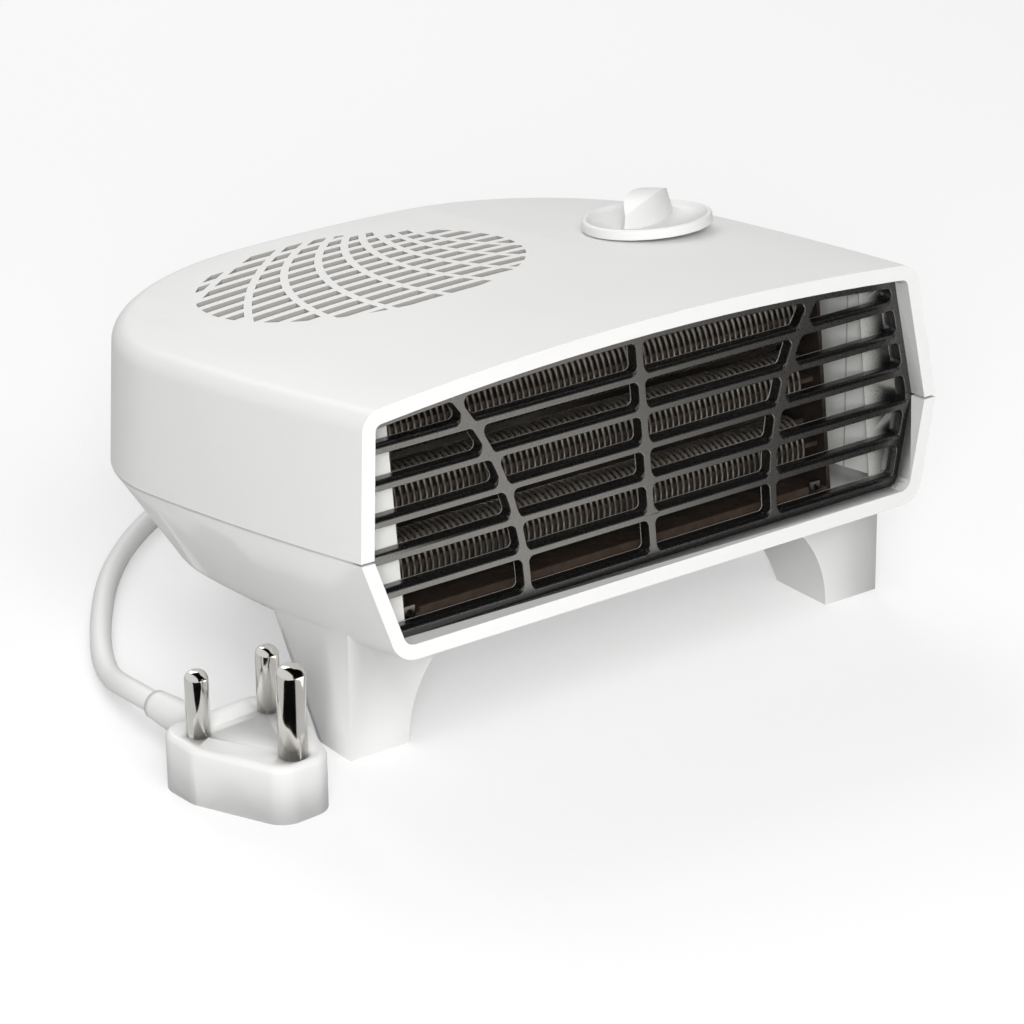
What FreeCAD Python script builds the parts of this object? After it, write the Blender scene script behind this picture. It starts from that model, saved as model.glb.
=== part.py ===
import FreeCAD, Part
import math
import os

# A flat fan heater with its lead and plug, in millimetres.
# The body is drawn square in its own frame: x to the right, y back from the front rim, z up from the seam.
# It is then leaned back and set on the floor, with the origin on the floor under the middle of the body.

# Casing
half_width = 114.5
side_bulge = 6.0
body_depth = 192.0
rear_corner = 82.0
wall = 2.4
upper_height = 49.0
crown_radius = 1000.0
upper_inset = 5.8
top_edge_radius = 7.0
lower_depth = 32.5
lower_inset = 10.0
lower_tuck = 7.0
bottom_edge_radius = 8.5
rim = 4.6
seam_gap = 0.8
lip_height = 2.5
lip_thickness = 1.1
lip_start = 8.0
fit = 0.15
reach = 20.0

# How the body stands
tilt = 6.7
seam_height = 71.6

# Front legs and rear feet
leg_side = 12.5
leg_width = 21.0
leg_setback = 22.5
leg_depth = 24.2
leg_flare_radius = 40.0
leg_rear_lean = 33.0
leg_corner_radius = 8.0
rear_foot_x = 50.0
rear_foot_rear = 39.0
rear_foot_radius = 8.0
rear_foot_flare = 2.5

# Screw columns that join the shells
front_column_side = 19.5
front_column_y = 62.0
rear_column_side = 36.5
rear_column_rear = 39.0
upper_column_radius = 4.2
lower_column_radius = 5.2
screw_radius = 1.75
screw_fit = 0.05
screw_head_radius = 3.5
screw_head_height = 2.2
screw_seat = -14.0
screw_grip = 9.0
counterbore_radius = 4.0

# Intake on the top
intake_x = -22.5
intake_rear = 70.1
intake_half_width = 54.6
intake_half_depth = 48.5
slot_rows = 13
slot_pitch = 7.5
slot_height = 4.4
rib_count = 8
rib_width = 2.6
rib_foot_angle = 197.0
rib_foot_step = 22.0
rib_head_angle = 105.0
rib_head_step = -10.4
rib_first_crossing = -0.777
rib_first_step = 0.283
rib_step_change = -0.0185
least_slot_area = 8.0

# Front grille
grille_setback = 7.0
grille_thickness = 4.5
frame_side = 4.3
frame_top = 6.0
bar_count = 5
bar_pitch = 10.87
bar_height = 3.2
top_cell_end = 4.1
cell_floor = -24.4
cell_corner = 1.8
mullion_width = 2.8
mullion_foot_x = 47.0
mullion_foot_z = -22.0
mullion_radius = 101.0

# Blower scroll and duct
duct_wall = 1.6
duct_side = 21.5
outlet_side = 26.3
duct_front = 13.0
duct_corner_y = 52.0
duct_low = -25.0
duct_high = 41.0
duct_flange = 8.0
blank_overlap = 3.0
scroll_x = -25.5
scroll_forward = 4.9
scroll_radius = 57.5
tongue_angle = -35.0
base_z = 6.0
ramp_top_y = 50.0
ramp_foot_y = 37.0
shaft_hole_radius = 9.0
left_post = (-72.0, 66.0)
right_post = (55.0, 57.0)
rear_post_x = -31.0
rear_post_rear = 28.0
base_post_radius = 4.0

# Heating element
element_front = 14.5
element_depth = 21.0
board = 1.4
element_gap = 17.2
element_top = 41.0
element_floor = -26.0
board_lip = 3.0
lip_inset = 5.3
coil_rows = 3
coil_first_z = 31.0
coil_pitch_z = 21.0
coil_radius = 7.8
coil_turns = 8
coil_end_gap = 12.0
ribbon_width = 1.2
ribbon_thickness = 0.5
core_clearance = 0.7
terminal_left = 2.4
terminal_right = 6.8
terminal_width = 4.0
terminal_height = 4.5
terminal_hole = 1.0
terminal_thickness = 0.8
cutout_x = -40.0
cutout_radius = 7.5
cutout_height = 3.2
support_rib_x = 50.0
support_rib_width = 2.0

# Motor and blower wheel
shaft_radius = 2.0
shaft_low = -25.0
shaft_high = 23.0
running_fit = 0.05
stack_top = -3.0
stack_height = 14.0
stack_half_width = 22.0
stack_rear = 20.0
stack_front = 40.0
window_width = 26.0
window_near = 17.0
leg_bar = 10.0
rotor_radius = 12.5
air_gap = 0.4
rotor_height = 12.0
bobbin_wall = 1.2
winding_build = 5.0
winding_length = 16.0
bracket_thickness = 2.0
bracket_width = 14.0
bush_radius = 4.5
bush_upper_length = 6.0
bush_lower_length = 5.0
motor_screw_x = 17.5
motor_boss_radius = 4.0
wheel_radius = 43.0
wheel_low = 10.0
wheel_plate = 1.4
wheel_high = 38.0
wheel_ring = 2.0
blade_inner = 35.0
blade_count = 24
blade_thickness = 1.0
blade_radius = 9.0
hub_radius = 7.0
hub_height = 14.0

# Knob and switch
knob_side = 41.5
knob_y = 97.0
knob_radius = 21.3
knob_lift = 1.7
skirt_height = 3.2
skirt_edge = 1.0
dish_depth = 1.2
dish_rim = 1.8
knob_height = 11.0
grip_end_height = 6.0
grip_half_length = 19.0
grip_half_width = 6.6
grip_draft = 2.2
grip_angle = 30.0
spindle_radius = 3.0
spindle_depth = 9.0
spindle_hole_radius = 4.2
switch_side = 36.0
switch_corner = 4.0
switch_low = 12.0
switch_high = 36.0
switch_plate_thickness = 1.5
switch_plate_length = 60.0
switch_plate_width = 14.0
switch_post_x = 24.0
switch_post_radius = 3.6

# Lead, gland and terminal block
cord_diameter = 7.0
gland_x = -6.0
gland_z = -18.0
gland_pad_radius = 9.0
gland_pad_rear = 4.4
gland_pad_depth = 12.1
gland_neck = 5.0
gland_flange_radius = 7.5
gland_flange = 2.0
gland_sleeve = 26.0
gland_tip_radius = 4.6
cord_fit = 0.1
block_length = 28.0
block_depth = 14.0
block_gap = 29.0

# Plug, in the frame of the floor: pins up, earth pin to the front, lead out of the rear
plug_x = -134.1
plug_y = -62.5
plug_turn = 4.1
plug_height = 18.0
plug_half_width = 20.0
plug_rear = 12.0
plug_waist = -6.0
plug_front = -35.2
plug_front_half_width = 8.6
plug_corner = 8.0
plug_edge = 2.0
line_pin_half_pitch = 12.7
line_pin_radius = 3.53
line_pin_length = 20.6
earth_pin_offset = 28.6
earth_pin_radius = 4.35
earth_pin_length = 28.6
pin_depth = 6.0
sleeve_length = 28.0
sleeve_radius = 6.5
sleeve_tip_radius = 4.5
sleeve_height = 9.0

# Coil of the lead behind the heater
coil_x = 54.0
coil_y = 183.0
coil_start_angle = -105.0
coil_outer = 46.0
coil_step = 7.7
coil_in_turns = 2.0
coil_climb_turns = 0.5
coil_out_turns = 2.25
tie_width = 9.0
tie_thickness = 1.6
tie_gap = 0.4
tie_angle = 20.0

# The lead's route on the floor, chosen by hand from the photograph, from the plug's sleeve to the coil
run_points = (
    (-132.4, 11.8, 3.5),
    (-124.6, 29.3, 3.5),
    (-111.1, 52.3, 3.5),
    (-93.8, 77.4, 3.5),
    (-73.0, 99.7, 3.5),
    (-47.0, 119.0, 3.5),
    (-20.0, 135.0, 3.5),
)
run_first = 14.0
run_last = 20.5
tail_first = 24.0
tail_last = 22.0

V = FreeCAD.Vector
up = V(0, 0, 1)
back = V(0, 1, 0)
cord_radius = cord_diameter / 2
lean = math.radians(tilt)
y_mid = (body_depth * math.cos(lean) - lower_depth * math.sin(lean)) / 2
corner_y = body_depth - rear_corner
side_radius = (corner_y ** 2 + side_bulge ** 2) / (2 * side_bulge)
lower_floor = wall - lower_depth
leg_outer_x = half_width - leg_side
leg_inner_x = leg_outer_x - leg_width
front_column = (half_width - front_column_side, front_column_y)
rear_column = (half_width - rear_column_side, body_depth - rear_column_rear)
intake_y = body_depth - intake_rear
scroll_y = intake_y - scroll_forward
duct_left = scroll_x - scroll_radius
duct_right = half_width - duct_side
outlet_left = outlet_side - half_width
base_posts = (left_post, right_post, (rear_post_x, body_depth - rear_post_rear))
knob_x = half_width - knob_side
gland_pad_outer = body_depth - gland_pad_rear
gland_pad_inner = gland_pad_outer - gland_pad_depth
block_rear = body_depth - block_gap
far = 400.0


def stand(shape):
    # From the frame of the body to the frame of the floor
    placed = shape.copy()
    placed.rotate(V(0, 0, 0), V(1, 0, 0), -tilt)
    placed.translate(V(0, -y_mid, seam_height))
    return placed


def settle(shape):
    # From the frame of the floor back to the frame of the body
    placed = shape.copy()
    placed.translate(V(0, y_mid, -seam_height))
    placed.rotate(V(0, 0, 0), V(1, 0, 0), tilt)
    return placed


def stand_point(x, y, z):
    turned = FreeCAD.Rotation(V(1, 0, 0), -tilt).multVec(V(x, y, z))
    return turned + V(0, -y_mid, seam_height)


def stand_direction(direction):
    return FreeCAD.Rotation(V(1, 0, 0), -tilt).multVec(direction)


def box(x0, x1, y0, y1, z0, z1):
    return Part.makeBox(x1 - x0, y1 - y0, z1 - z0, V(x0, y0, z0))


def post(x, y, z0, z1, radius):
    return Part.makeCylinder(radius, z1 - z0, V(x, y, z0), up)


def join(pieces):
    return pieces[0].multiFuse(pieces[1:]).removeSplitter()


def mirrored(shape):
    return shape.mirror(V(0, 0, 0), V(1, 0, 0))


def three_point_arc(a, b, c):
    return Part.Arc(a, b, c).toShape()


def line(a, b):
    return Part.LineSegment(a, b).toShape()


def polygon_face(points):
    return Part.Face(Part.makePolygon([V(*p) for p in points] + [V(*points[0])]))


# Casing forms

def side_x(inset, y):
    # Half width of the outline at depth y: a long arc that is widest where the rear corner begins
    return half_width - inset - side_radius + math.sqrt(side_radius ** 2 - (corner_y - y) ** 2)


def plan_wire(inset, z, tuck=0.0):
    # The outline seen from above, drawn in by inset all round and by tuck at the rear, and carried forward
    # past the rim; the rear corner is an arc that carries on from the side
    front_right = V(side_x(inset, -reach), -reach, z)
    side_right = V(side_x(inset, reach), reach, z)
    wide_right = V(half_width - inset - tuck, corner_y, z)
    outward = wide_right - three_point_arc(front_right, side_right, wide_right).Curve.Center
    start = math.atan2(outward.y, outward.x)
    rear_y = body_depth - inset - tuck
    r = (rear_y - corner_y) / (1 - math.sin(start))
    rear_right = V(wide_right.x - r * math.cos(start), rear_y, z)
    halfway = (start + math.pi / 2) / 2
    corner_right = rear_right + V(r * math.cos(halfway), r * math.sin(halfway) - r, 0)

    def left(p):
        return V(-p.x, p.y, p.z)

    return Part.Wire([
        line(left(front_right), front_right),
        three_point_arc(front_right, side_right, wide_right),
        three_point_arc(wide_right, corner_right, rear_right),
        line(rear_right, left(rear_right)),
        three_point_arc(left(rear_right), left(corner_right), left(wide_right)),
        three_point_arc(left(wide_right), left(side_right), left(front_right)),
    ])


def crown(drop):
    # A long cylinder whose top is the crowned top of the casing, lowered by drop
    axis_start = V(0, -reach - 10, upper_height - crown_radius)
    return Part.makeCylinder(crown_radius - drop, body_depth + 2 * reach, axis_start, back)


def rim_edges(solid, level):
    # The edges round the sides and rear at a level, without those of the front end
    found = []
    for edge in solid.Edges:
        points = edge.discretize(5)
        if all(abs(p.z - level) < 10 for p in points) and max(p.y for p in points) > 1 - reach:
            found.append(edge)
    return found


def upper_block(inset, top_inset):
    loft = Part.makeLoft([plan_wire(inset, 0), plan_wire(upper_inset + inset, upper_height)], True, True)
    return loft.common(crown(top_inset)).Solids[0]


def upper_form(inset):
    solid = upper_block(inset, inset)
    return solid.makeFillet(top_edge_radius - inset, rim_edges(solid, upper_height - inset))


def lower_block(inset):
    floor = inset - lower_depth
    share = (lower_depth - inset) / lower_depth
    below = plan_wire(inset + lower_inset * share, floor, lower_tuck * share)
    return Part.makeLoft([plan_wire(inset, 0), below], True, True)


def lower_form(inset):
    solid = lower_block(inset)
    return solid.makeFillet(bottom_edge_radius - inset, rim_edges(solid, inset - lower_depth))


def plan_prism(inset, z0, z1):
    return Part.Face(plan_wire(inset, z0)).extrude(V(0, 0, z1 - z0))


def columns():
    found = []
    for x, y in (front_column, rear_column):
        found += [(x, y), (-x, y)]
    return found


# Intake

def rib_rings():
    # Each rib is an arc from the intake's front edge to its rear edge, through a point on the middle row
    rings = []

    def edge_point(degrees):
        a = math.radians(degrees)
        return V(intake_x + intake_half_width * math.cos(a), intake_y + intake_half_depth * math.sin(a), 0)

    crossing = rib_first_crossing
    step = rib_first_step
    for i in range(rib_count):
        foot = edge_point(rib_foot_angle + rib_foot_step * i)
        middle = V(intake_x + intake_half_width * crossing, intake_y, 0)
        head = edge_point(rib_head_angle + rib_head_step * i)
        arc = three_point_arc(foot, middle, head).Curve
        outer = Part.makeCylinder(arc.Radius + rib_width / 2, upper_height, arc.Center, up)
        inner = Part.makeCylinder(arc.Radius - rib_width / 2, upper_height, arc.Center, up)
        rings.append(outer.cut(inner))
        crossing += step
        step += rib_step_change
    return rings


def intake_slots():
    low = upper_height / 2
    oval = Part.Ellipse(V(intake_x, intake_y, low), intake_half_width, intake_half_depth).toShape()
    disc = Part.Face(Part.Wire(oval)).extrude(V(0, 0, upper_height + 1 - low))
    first = intake_y - slot_pitch * (slot_rows - 1) / 2
    rows = []
    for i in range(slot_rows):
        y = first + slot_pitch * i
        strip = box(intake_x - intake_half_width, intake_x + intake_half_width, y - slot_height / 2,
                    y + slot_height / 2, low, upper_height + 1)
        rows.append(strip.common(disc))
    rings = rib_rings()
    for ring in rings:
        ring.translate(V(0, 0, low / 2))
    slots = Part.makeCompound(rows).cut(Part.makeCompound(rings))
    tall = upper_height + 1 - low
    return Part.makeCompound([s for s in slots.Solids if s.Volume > least_slot_area * tall])


# Casing pieces

def front_rim(outer, opening):
    # The thicker edge round the front opening, as deep as the grille is set back
    return outer.cut(opening).common(box(-far, far, 0, grille_setback, -far, far))


def top_z(x):
    return upper_height - crown_radius + math.sqrt(crown_radius ** 2 - x ** 2)


def upper_shell():
    outer = upper_form(0)
    inner = upper_form(wall)
    shell = outer.cut(inner).fuse(front_rim(outer, upper_form(rim)))
    shell = shell.common(box(-far, far, 0, far, seam_gap / 2, far))
    rebate = plan_prism(wall - lip_thickness - fit, -1, lip_height + fit)
    shell = shell.cut(rebate.common(box(-far, far, lip_start - fit, far, -far, far)))
    added = [shell]
    for x, y in columns():
        added.append(post(x, y, 0, upper_height, upper_column_radius).common(inner))
    plate_top = switch_high + switch_plate_thickness
    for side in (-1, 1):
        spot = knob_x + side * switch_post_x
        added.append(post(spot, knob_y, plate_top, upper_height, switch_post_radius).common(inner))
    shell = join(added)
    for x, y in columns():
        shell = shell.cut(post(x, y, -1, screw_grip + 1, screw_radius + screw_fit))
    for side in (-1, 1):
        spot = knob_x + side * switch_post_x
        shell = shell.cut(post(spot, knob_y, plate_top - 1, plate_top + 5, screw_radius + screw_fit))
    shell = shell.cut(post(knob_x, knob_y, switch_high, far, spindle_hole_radius))
    return stand(shell.cut(intake_slots()))


def front_leg():
    # What is common to a front profile with a flared inner edge and a side profile that leans at the rear
    top = seam_height
    y0 = -y_mid - lower_depth * math.sin(lean) + leg_setback
    y1 = y0 + leg_depth
    half = math.radians(30)
    flare_mid = V(leg_inner_x - leg_flare_radius * (1 - math.cos(half)), 0,
                  leg_flare_radius * math.sin(half))
    flare_end = V(leg_inner_x - leg_flare_radius * (1 - math.cos(2 * half)), 0,
                  leg_flare_radius * math.sin(2 * half))
    foot_in = V(leg_inner_x, 0, 0)
    foot_out = V(leg_outer_x, 0, 0)
    head_out = V(leg_outer_x, 0, top)
    head_in = V(flare_end.x, 0, top)
    front = Part.Face(Part.Wire([
        three_point_arc(foot_in, flare_mid, flare_end),
        line(flare_end, head_in),
        line(head_in, head_out),
        line(head_out, foot_out),
        line(foot_out, foot_in),
    ])).extrude(V(0, far, 0))
    front.translate(V(0, -far / 2, 0))
    run = top * math.tan(math.radians(leg_rear_lean))
    side = polygon_face(((0, y0, 0), (0, y1, 0), (0, y1 + run, top), (0, y0, top))).extrude(V(far, 0, 0))
    leg = front.common(side).Solids[0]
    rounded = []
    for edge in leg.Edges:
        points = edge.discretize(3)
        if all(abs(p.x - leg_outer_x) < 0.01 and p.y > y1 - 0.01 for p in points) and edge.Length > top:
            rounded.append(edge)
    return leg.makeFillet(leg_corner_radius, rounded)


def rear_foot():
    # An upright cone that widens towards the casing
    head = stand_point(rear_foot_x, body_depth - rear_foot_rear, -lower_depth / 2)
    return Part.makeCone(rear_foot_radius, rear_foot_radius + rear_foot_flare, head.z,
                         V(head.x, head.y, 0), up)


def lower_shell():
    outer = lower_form(0)
    inner = lower_form(wall)
    below = box(-far, far, 0, far, -far, -seam_gap / 2)
    leg = settle(front_leg())
    foot = settle(rear_foot())
    feet = [f.common(below) for f in (leg, mirrored(leg), foot, mirrored(foot))]
    shell = join([outer.common(below)] + feet).cut(inner)
    lip = plan_prism(wall - lip_thickness, -1.5, lip_height).cut(plan_prism(wall, -2, far))
    lip = lip.common(box(-far, far, lip_start, far, -far, far))
    added = [shell, front_rim(outer, lower_form(rim)).common(below), lip]
    for x, y in columns():
        added.append(post(x, y, -lower_depth, 0, lower_column_radius).common(outer))
    for x, y in base_posts:
        added.append(post(x, y, lower_floor - 1, base_z, base_post_radius))
    for side in (-1, 1):
        x = side * support_rib_x
        added.append(box(x - support_rib_width / 2, x + support_rib_width / 2, element_front + 2,
                         element_front + element_depth - 2, lower_floor - 1, element_floor))
    pad = Part.makeCylinder(gland_pad_radius, gland_pad_outer - gland_pad_inner,
                            V(gland_x, gland_pad_inner, gland_z), back)
    added.append(pad)
    shell = join(added)
    for x, y in columns():
        shell = shell.cut(post(x, y, screw_seat - 1, 1, screw_radius + screw_fit))
        shell = shell.cut(post(x, y, -far, screw_seat, counterbore_radius))
    hole = Part.makeCylinder(gland_neck + fit, far, V(gland_x, gland_pad_inner - 5, gland_z), back)
    return stand(shell.cut(hole))


def case_screws():
    screws = []
    for x, y in columns():
        head = post(x, y, screw_seat - screw_head_height, screw_seat, screw_head_radius)
        screws.append(head.fuse(post(x, y, screw_seat, screw_grip, screw_radius)).removeSplitter())
    return stand(Part.makeCompound(screws))


# Front grille

def through_corners(cell):
    # The sharp edges that run through a cell from front to back, without those beside the seam
    found = []
    for edge in cell.Edges:
        middle = edge.CenterOfMass
        ends = [v.Y for v in edge.Vertexes]
        if max(ends) - min(ends) < grille_thickness:
            continue
        if abs(middle.x) > half_width - upper_inset - 20 and abs(middle.z) < 2 * cell_corner:
            continue
        normals = []
        for face in cell.Faces:
            if any(edge.isSame(e) for e in face.Edges):
                u, v = face.Surface.parameter(middle)
                normals.append(face.normalAt(u, v))
        if len(normals) == 2 and abs(normals[0].dot(normals[1])) < 0.75:
            found.append(edge)
    return found


def front_grille():
    y0 = grille_setback
    y1 = grille_setback + grille_thickness
    margin = wall + fit
    slab = box(-far, far, y0, y1, -far, far)
    blank = box(duct_right - blank_overlap, far, y1, duct_front - fit, -far, far)
    plate = join([form.common(part) for form in (upper_form(margin), lower_form(margin))
                  for part in (slab, blank)])
    slab = box(-far, far, y0 - 1, y1 + 1, -far, far)
    inset = margin + frame_side
    field = join([upper_block(inset, margin + frame_top).common(slab), lower_block(inset).common(slab)])
    corner_z = top_z(side_x(inset + upper_inset, y0)) - margin - frame_top
    strips = []
    ceiling = far
    for i in range(bar_count):
        bar = corner_z - top_cell_end - bar_pitch * i
        strips.append(box(-far, far, y0 - 1, y1 + 1, bar, ceiling))
        ceiling = bar - bar_height
    strips.append(box(-far, far, y0 - 1, y1 + 1, cell_floor, ceiling))
    mullions = [box(-mullion_width / 2, mullion_width / 2, -far, far, -far, far)]
    for side in (-1, 1):
        centre = V(side * (mullion_foot_x + mullion_radius), -far / 2, mullion_foot_z)
        ring = Part.makeCylinder(mullion_radius + mullion_width / 2, far, centre, back)
        mullions.append(ring.cut(Part.makeCylinder(mullion_radius - mullion_width / 2, far, centre, back)))
    cells = []
    for strip in strips:
        for cell in field.common(strip).cut(Part.makeCompound(mullions)).Solids:
            cells.append(cell.makeFillet(cell_corner, through_corners(cell)))
    return stand(plate.cut(Part.makeCompound(cells)))


# Blower scroll and duct

def wall_run(a, b, z0, z1):
    # A straight upright wall between two points seen from above
    along = V(b[0] - a[0], b[1] - a[1], 0)
    across = V(-along.y, along.x, 0)
    across.normalize()
    half = across * (duct_wall / 2)
    corners = [V(*a, z0) + half, V(*b, z0) + half, V(*b, z0) - half, V(*a, z0) - half]
    return Part.Face(Part.makePolygon(corners + corners[:1])).extrude(V(0, 0, z1 - z0))


def tongue_point():
    a = math.radians(tongue_angle)
    return (scroll_x + scroll_radius * math.cos(a), scroll_y + scroll_radius * math.sin(a))


def scroll_arc():
    sweep = 180 - tongue_angle
    ring = Part.makeCylinder(scroll_radius + duct_wall / 2, duct_high - base_z, V(0, 0, 0), up, sweep)
    ring = ring.cut(post(0, 0, 0, duct_high, scroll_radius - duct_wall / 2))
    ring.rotate(V(0, 0, 0), up, tongue_angle)
    ring.translate(V(scroll_x, scroll_y, base_z))
    return ring


def blower_scroll():
    tongue = tongue_point()
    half = duct_wall / 2
    left_end = outlet_left - duct_flange
    walls = [
        wall_run((duct_right, duct_front), (duct_right, duct_corner_y), duct_low, duct_high),
        wall_run((duct_right, duct_corner_y), tongue, base_z, duct_high),
        scroll_arc(),
        wall_run((duct_left, scroll_y), (outlet_left, ramp_top_y), base_z, duct_high),
        wall_run((outlet_left, ramp_top_y), (outlet_left, duct_front), duct_low, duct_high),
        wall_run((outlet_left + half, duct_front + half), (left_end, duct_front + half), duct_low,
                 duct_high),
        post(duct_left, scroll_y, base_z, duct_high, half),
        post(outlet_left, ramp_top_y, base_z, duct_high, half),
        post(duct_right, duct_corner_y, base_z, duct_high, half),
        post(*tongue, base_z, duct_high, half),
    ]
    floor = polygon_face((
        (duct_left - half, scroll_y, base_z),
        (outlet_left - half, ramp_top_y, base_z),
        (duct_right + half, ramp_top_y, base_z),
        (duct_right + half, duct_corner_y, base_z),
        (tongue[0], tongue[1], base_z),
        (scroll_x, scroll_y, base_z),
    )).extrude(V(0, 0, duct_wall))
    disc = post(scroll_x, scroll_y, base_z, base_z + duct_wall, scroll_radius + half)
    ramp = polygon_face((
        (outlet_left - half, ramp_top_y, base_z + duct_wall),
        (outlet_left - half, ramp_foot_y, duct_low),
        (outlet_left - half, ramp_foot_y + duct_wall, duct_low),
        (outlet_left - half, ramp_top_y + duct_wall, base_z),
    )).extrude(V(duct_right - outlet_left + duct_wall, 0, 0))
    pieces = walls + [floor, disc, ramp]
    for side in (-1, 1):
        spot = intake_x + side * motor_screw_x
        pieces.append(post(spot, intake_y, stack_top + bracket_thickness, base_z, motor_boss_radius))
    scroll = join(pieces)
    scroll = scroll.cut(post(intake_x, intake_y, base_z - 1, base_z + duct_wall + 1, shaft_hole_radius))
    for side in (-1, 1):
        spot = intake_x + side * motor_screw_x
        scroll = scroll.cut(post(spot, intake_y, stack_top, base_z - 1, screw_radius + screw_fit))
    return stand(scroll)


# Heating element

def element_left():
    return outlet_left + duct_wall / 2


def element_right():
    return duct_right - element_gap


def element_span(inset=0.0):
    # The clear length between the end boards, drawn in by inset at both ends
    return element_left() + board + inset, element_right() - board - inset


def mica_end_board(side):
    x0 = element_left() if side < 0 else element_right() - board
    y1 = element_front + element_depth
    return stand(box(x0, x0 + board, element_front, y1, element_floor, element_top))


def mica_top_board():
    y1 = element_front + element_depth
    return stand(box(*element_span(), element_front, y1, element_top - board, element_top))


def mica_bottom_board():
    y1 = element_front + element_depth
    shelf = box(*element_span(), element_front, y1, element_floor, element_floor + board)
    lip = box(*element_span(lip_inset), element_front, element_front + board, element_floor,
              element_floor + board_lip)
    return stand(join([shelf, lip]))


def coil_centre(row):
    x0, x1 = element_span()
    return V((x0 + x1) / 2, element_front + element_depth / 2, coil_first_z - coil_pitch_z * row)


def mica_core(row):
    # Two crossed strips that the coil is wound on
    span = element_span()
    c = coil_centre(row)
    reach_out = coil_radius - ribbon_thickness / 2 - core_clearance
    flat = box(*span, c.y - reach_out, c.y + reach_out, c.z - board / 2, c.z + board / 2)
    tall = box(*span, c.y - board / 2, c.y + board / 2, c.z - reach_out, c.z + reach_out)
    return stand(join([flat, tall]))


def arc_from(p, tangent, q):
    # The arc that leaves p along tangent and ends at q
    chord = q - p
    along = chord.normalize()
    length = (q - p).Length
    cosine = max(-1.0, min(1.0, tangent.dot(along)))
    side = tangent - along * cosine
    if side.Length < 1e-6:
        return line(p, q)
    side.normalize()
    rise = length / 2 * math.tan(math.acos(cosine) / 2)
    return three_point_arc(p, (p + q) / 2 + side * rise, q)


def biarc(p, tp, q, tq):
    # Two arcs that leave p along tp and reach q along tq, and share a tangent where they meet
    v = q - p
    t = tp + tq
    spread = 2 * (1 - tp.dot(tq))
    along = v.dot(t)
    if spread < 1e-9:
        d = v.dot(v) / (2 * along)
    else:
        d = (-along + math.sqrt(along ** 2 + spread * v.dot(v))) / spread
    middle = (p + q + (tp - tq) * d) / 2
    tm = middle - (p + tp * d)
    tm.normalize()
    return [arc_from(p, tp, middle), arc_from(middle, tm, q)]


def biarc_path(nodes):
    edges = []
    for (p, tp), (q, tq) in zip(nodes, nodes[1:]):
        edges += biarc(p, tp, q, tq)
    return edges


def heating_coil(row):
    # A flat ribbon wound round the core in half turns, with straight ends that run into the end boards
    c = coil_centre(row)
    x0, x1 = element_span()
    pitch = (x1 - x0 - 2 * coil_end_gap) / coil_turns
    nodes = []
    for i in range(2 * coil_turns + 1):
        a = math.pi * i
        place = V(x0 + coil_end_gap + pitch * i / 2, c.y + coil_radius * math.cos(a),
                  c.z + coil_radius * math.sin(a))
        tangent = V(pitch / (2 * math.pi), -coil_radius * math.sin(a), coil_radius * math.cos(a))
        tangent.normalize()
        nodes.append((place, tangent))
    y = nodes[0][0].y
    z = nodes[0][0].z
    last = nodes[-1][0]
    start = V(x0 + ribbon_width, y, z)
    stop = V(x1 - ribbon_width, last.y, last.z)
    axial = V(1, 0, 0)
    nodes = [(start, axial)] + nodes + [(stop, axial)]
    edges = [line(V(x0, y, z), start)] + biarc_path(nodes)
    edges.append(line(stop, V(x1, last.y, last.z)))
    half_w = ribbon_width / 2
    half_t = ribbon_thickness / 2
    section = Part.makePolygon([
        V(x0, y - half_t, z - half_w), V(x0, y + half_t, z - half_w),
        V(x0, y + half_t, z + half_w), V(x0, y - half_t, z + half_w), V(x0, y - half_t, z - half_w)])
    return stand(Part.Wire(edges).makePipeShell([section], True, False))


def element_terminals():
    tabs = []
    half = terminal_width / 2
    y = element_front - terminal_thickness
    z1 = element_floor + terminal_height
    for x in (element_left() + terminal_left, element_right() - terminal_right):
        tab = box(x - half, x + half, y, element_front, element_floor, z1)
        hole = Part.makeCylinder(terminal_hole, 5, V(x, y - 1, z1 - half), back)
        tabs.append(tab.cut(hole))
    return stand(Part.makeCompound(tabs))


def thermal_cutout():
    y = element_front + element_depth / 2
    can = post(cutout_x, y, element_top, element_top + cutout_height, cutout_radius)
    ears = box(cutout_x - cutout_radius - 5, cutout_x + cutout_radius + 5, y - 3, y + 3, element_top,
               element_top + 0.8)
    return stand(join([can, ears]))


# Motor and blower wheel

def motor_post(z0, z1, radius):
    return post(intake_x, intake_y, z0, z1, radius)


def stack_low():
    return stack_top - stack_height


def stator_stack():
    y0 = intake_y - stack_front
    stack = box(intake_x - stack_half_width, intake_x + stack_half_width, y0, intake_y + stack_rear,
                stack_low(), stack_top)
    window = box(intake_x - window_width / 2, intake_x + window_width / 2, y0 + leg_bar,
                 intake_y - window_near, -far, far)
    notch = box(intake_x - window_width / 2, intake_x + window_width / 2, -far, y0 + 2, -far, far)
    stack = stack.cut(window).cut(notch).cut(motor_post(-far, far, rotor_radius + air_gap))
    for side in (-1, 1):
        spot = intake_x + side * motor_screw_x
        stack = stack.cut(post(spot, intake_y, -far, far, screw_radius + screw_fit))
    return stand(stack)


def bobbin_box(grow, length):
    # A block round the stack's front bar, larger than the bar by grow on all four sides
    y0 = intake_y - stack_front + 2
    y1 = intake_y - stack_front + leg_bar
    return box(intake_x - length / 2, intake_x + length / 2, y0 - grow, y1 + grow, stack_low() - grow,
               stack_top + grow)


def motor_bobbin():
    flange = bobbin_wall + winding_build
    length = winding_length + 2 * bobbin_wall
    spool = bobbin_box(flange, length).cut(
        bobbin_box(flange + 1, winding_length).cut(bobbin_box(bobbin_wall, winding_length)))
    return stand(spool.cut(bobbin_box(fit, far)))


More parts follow.
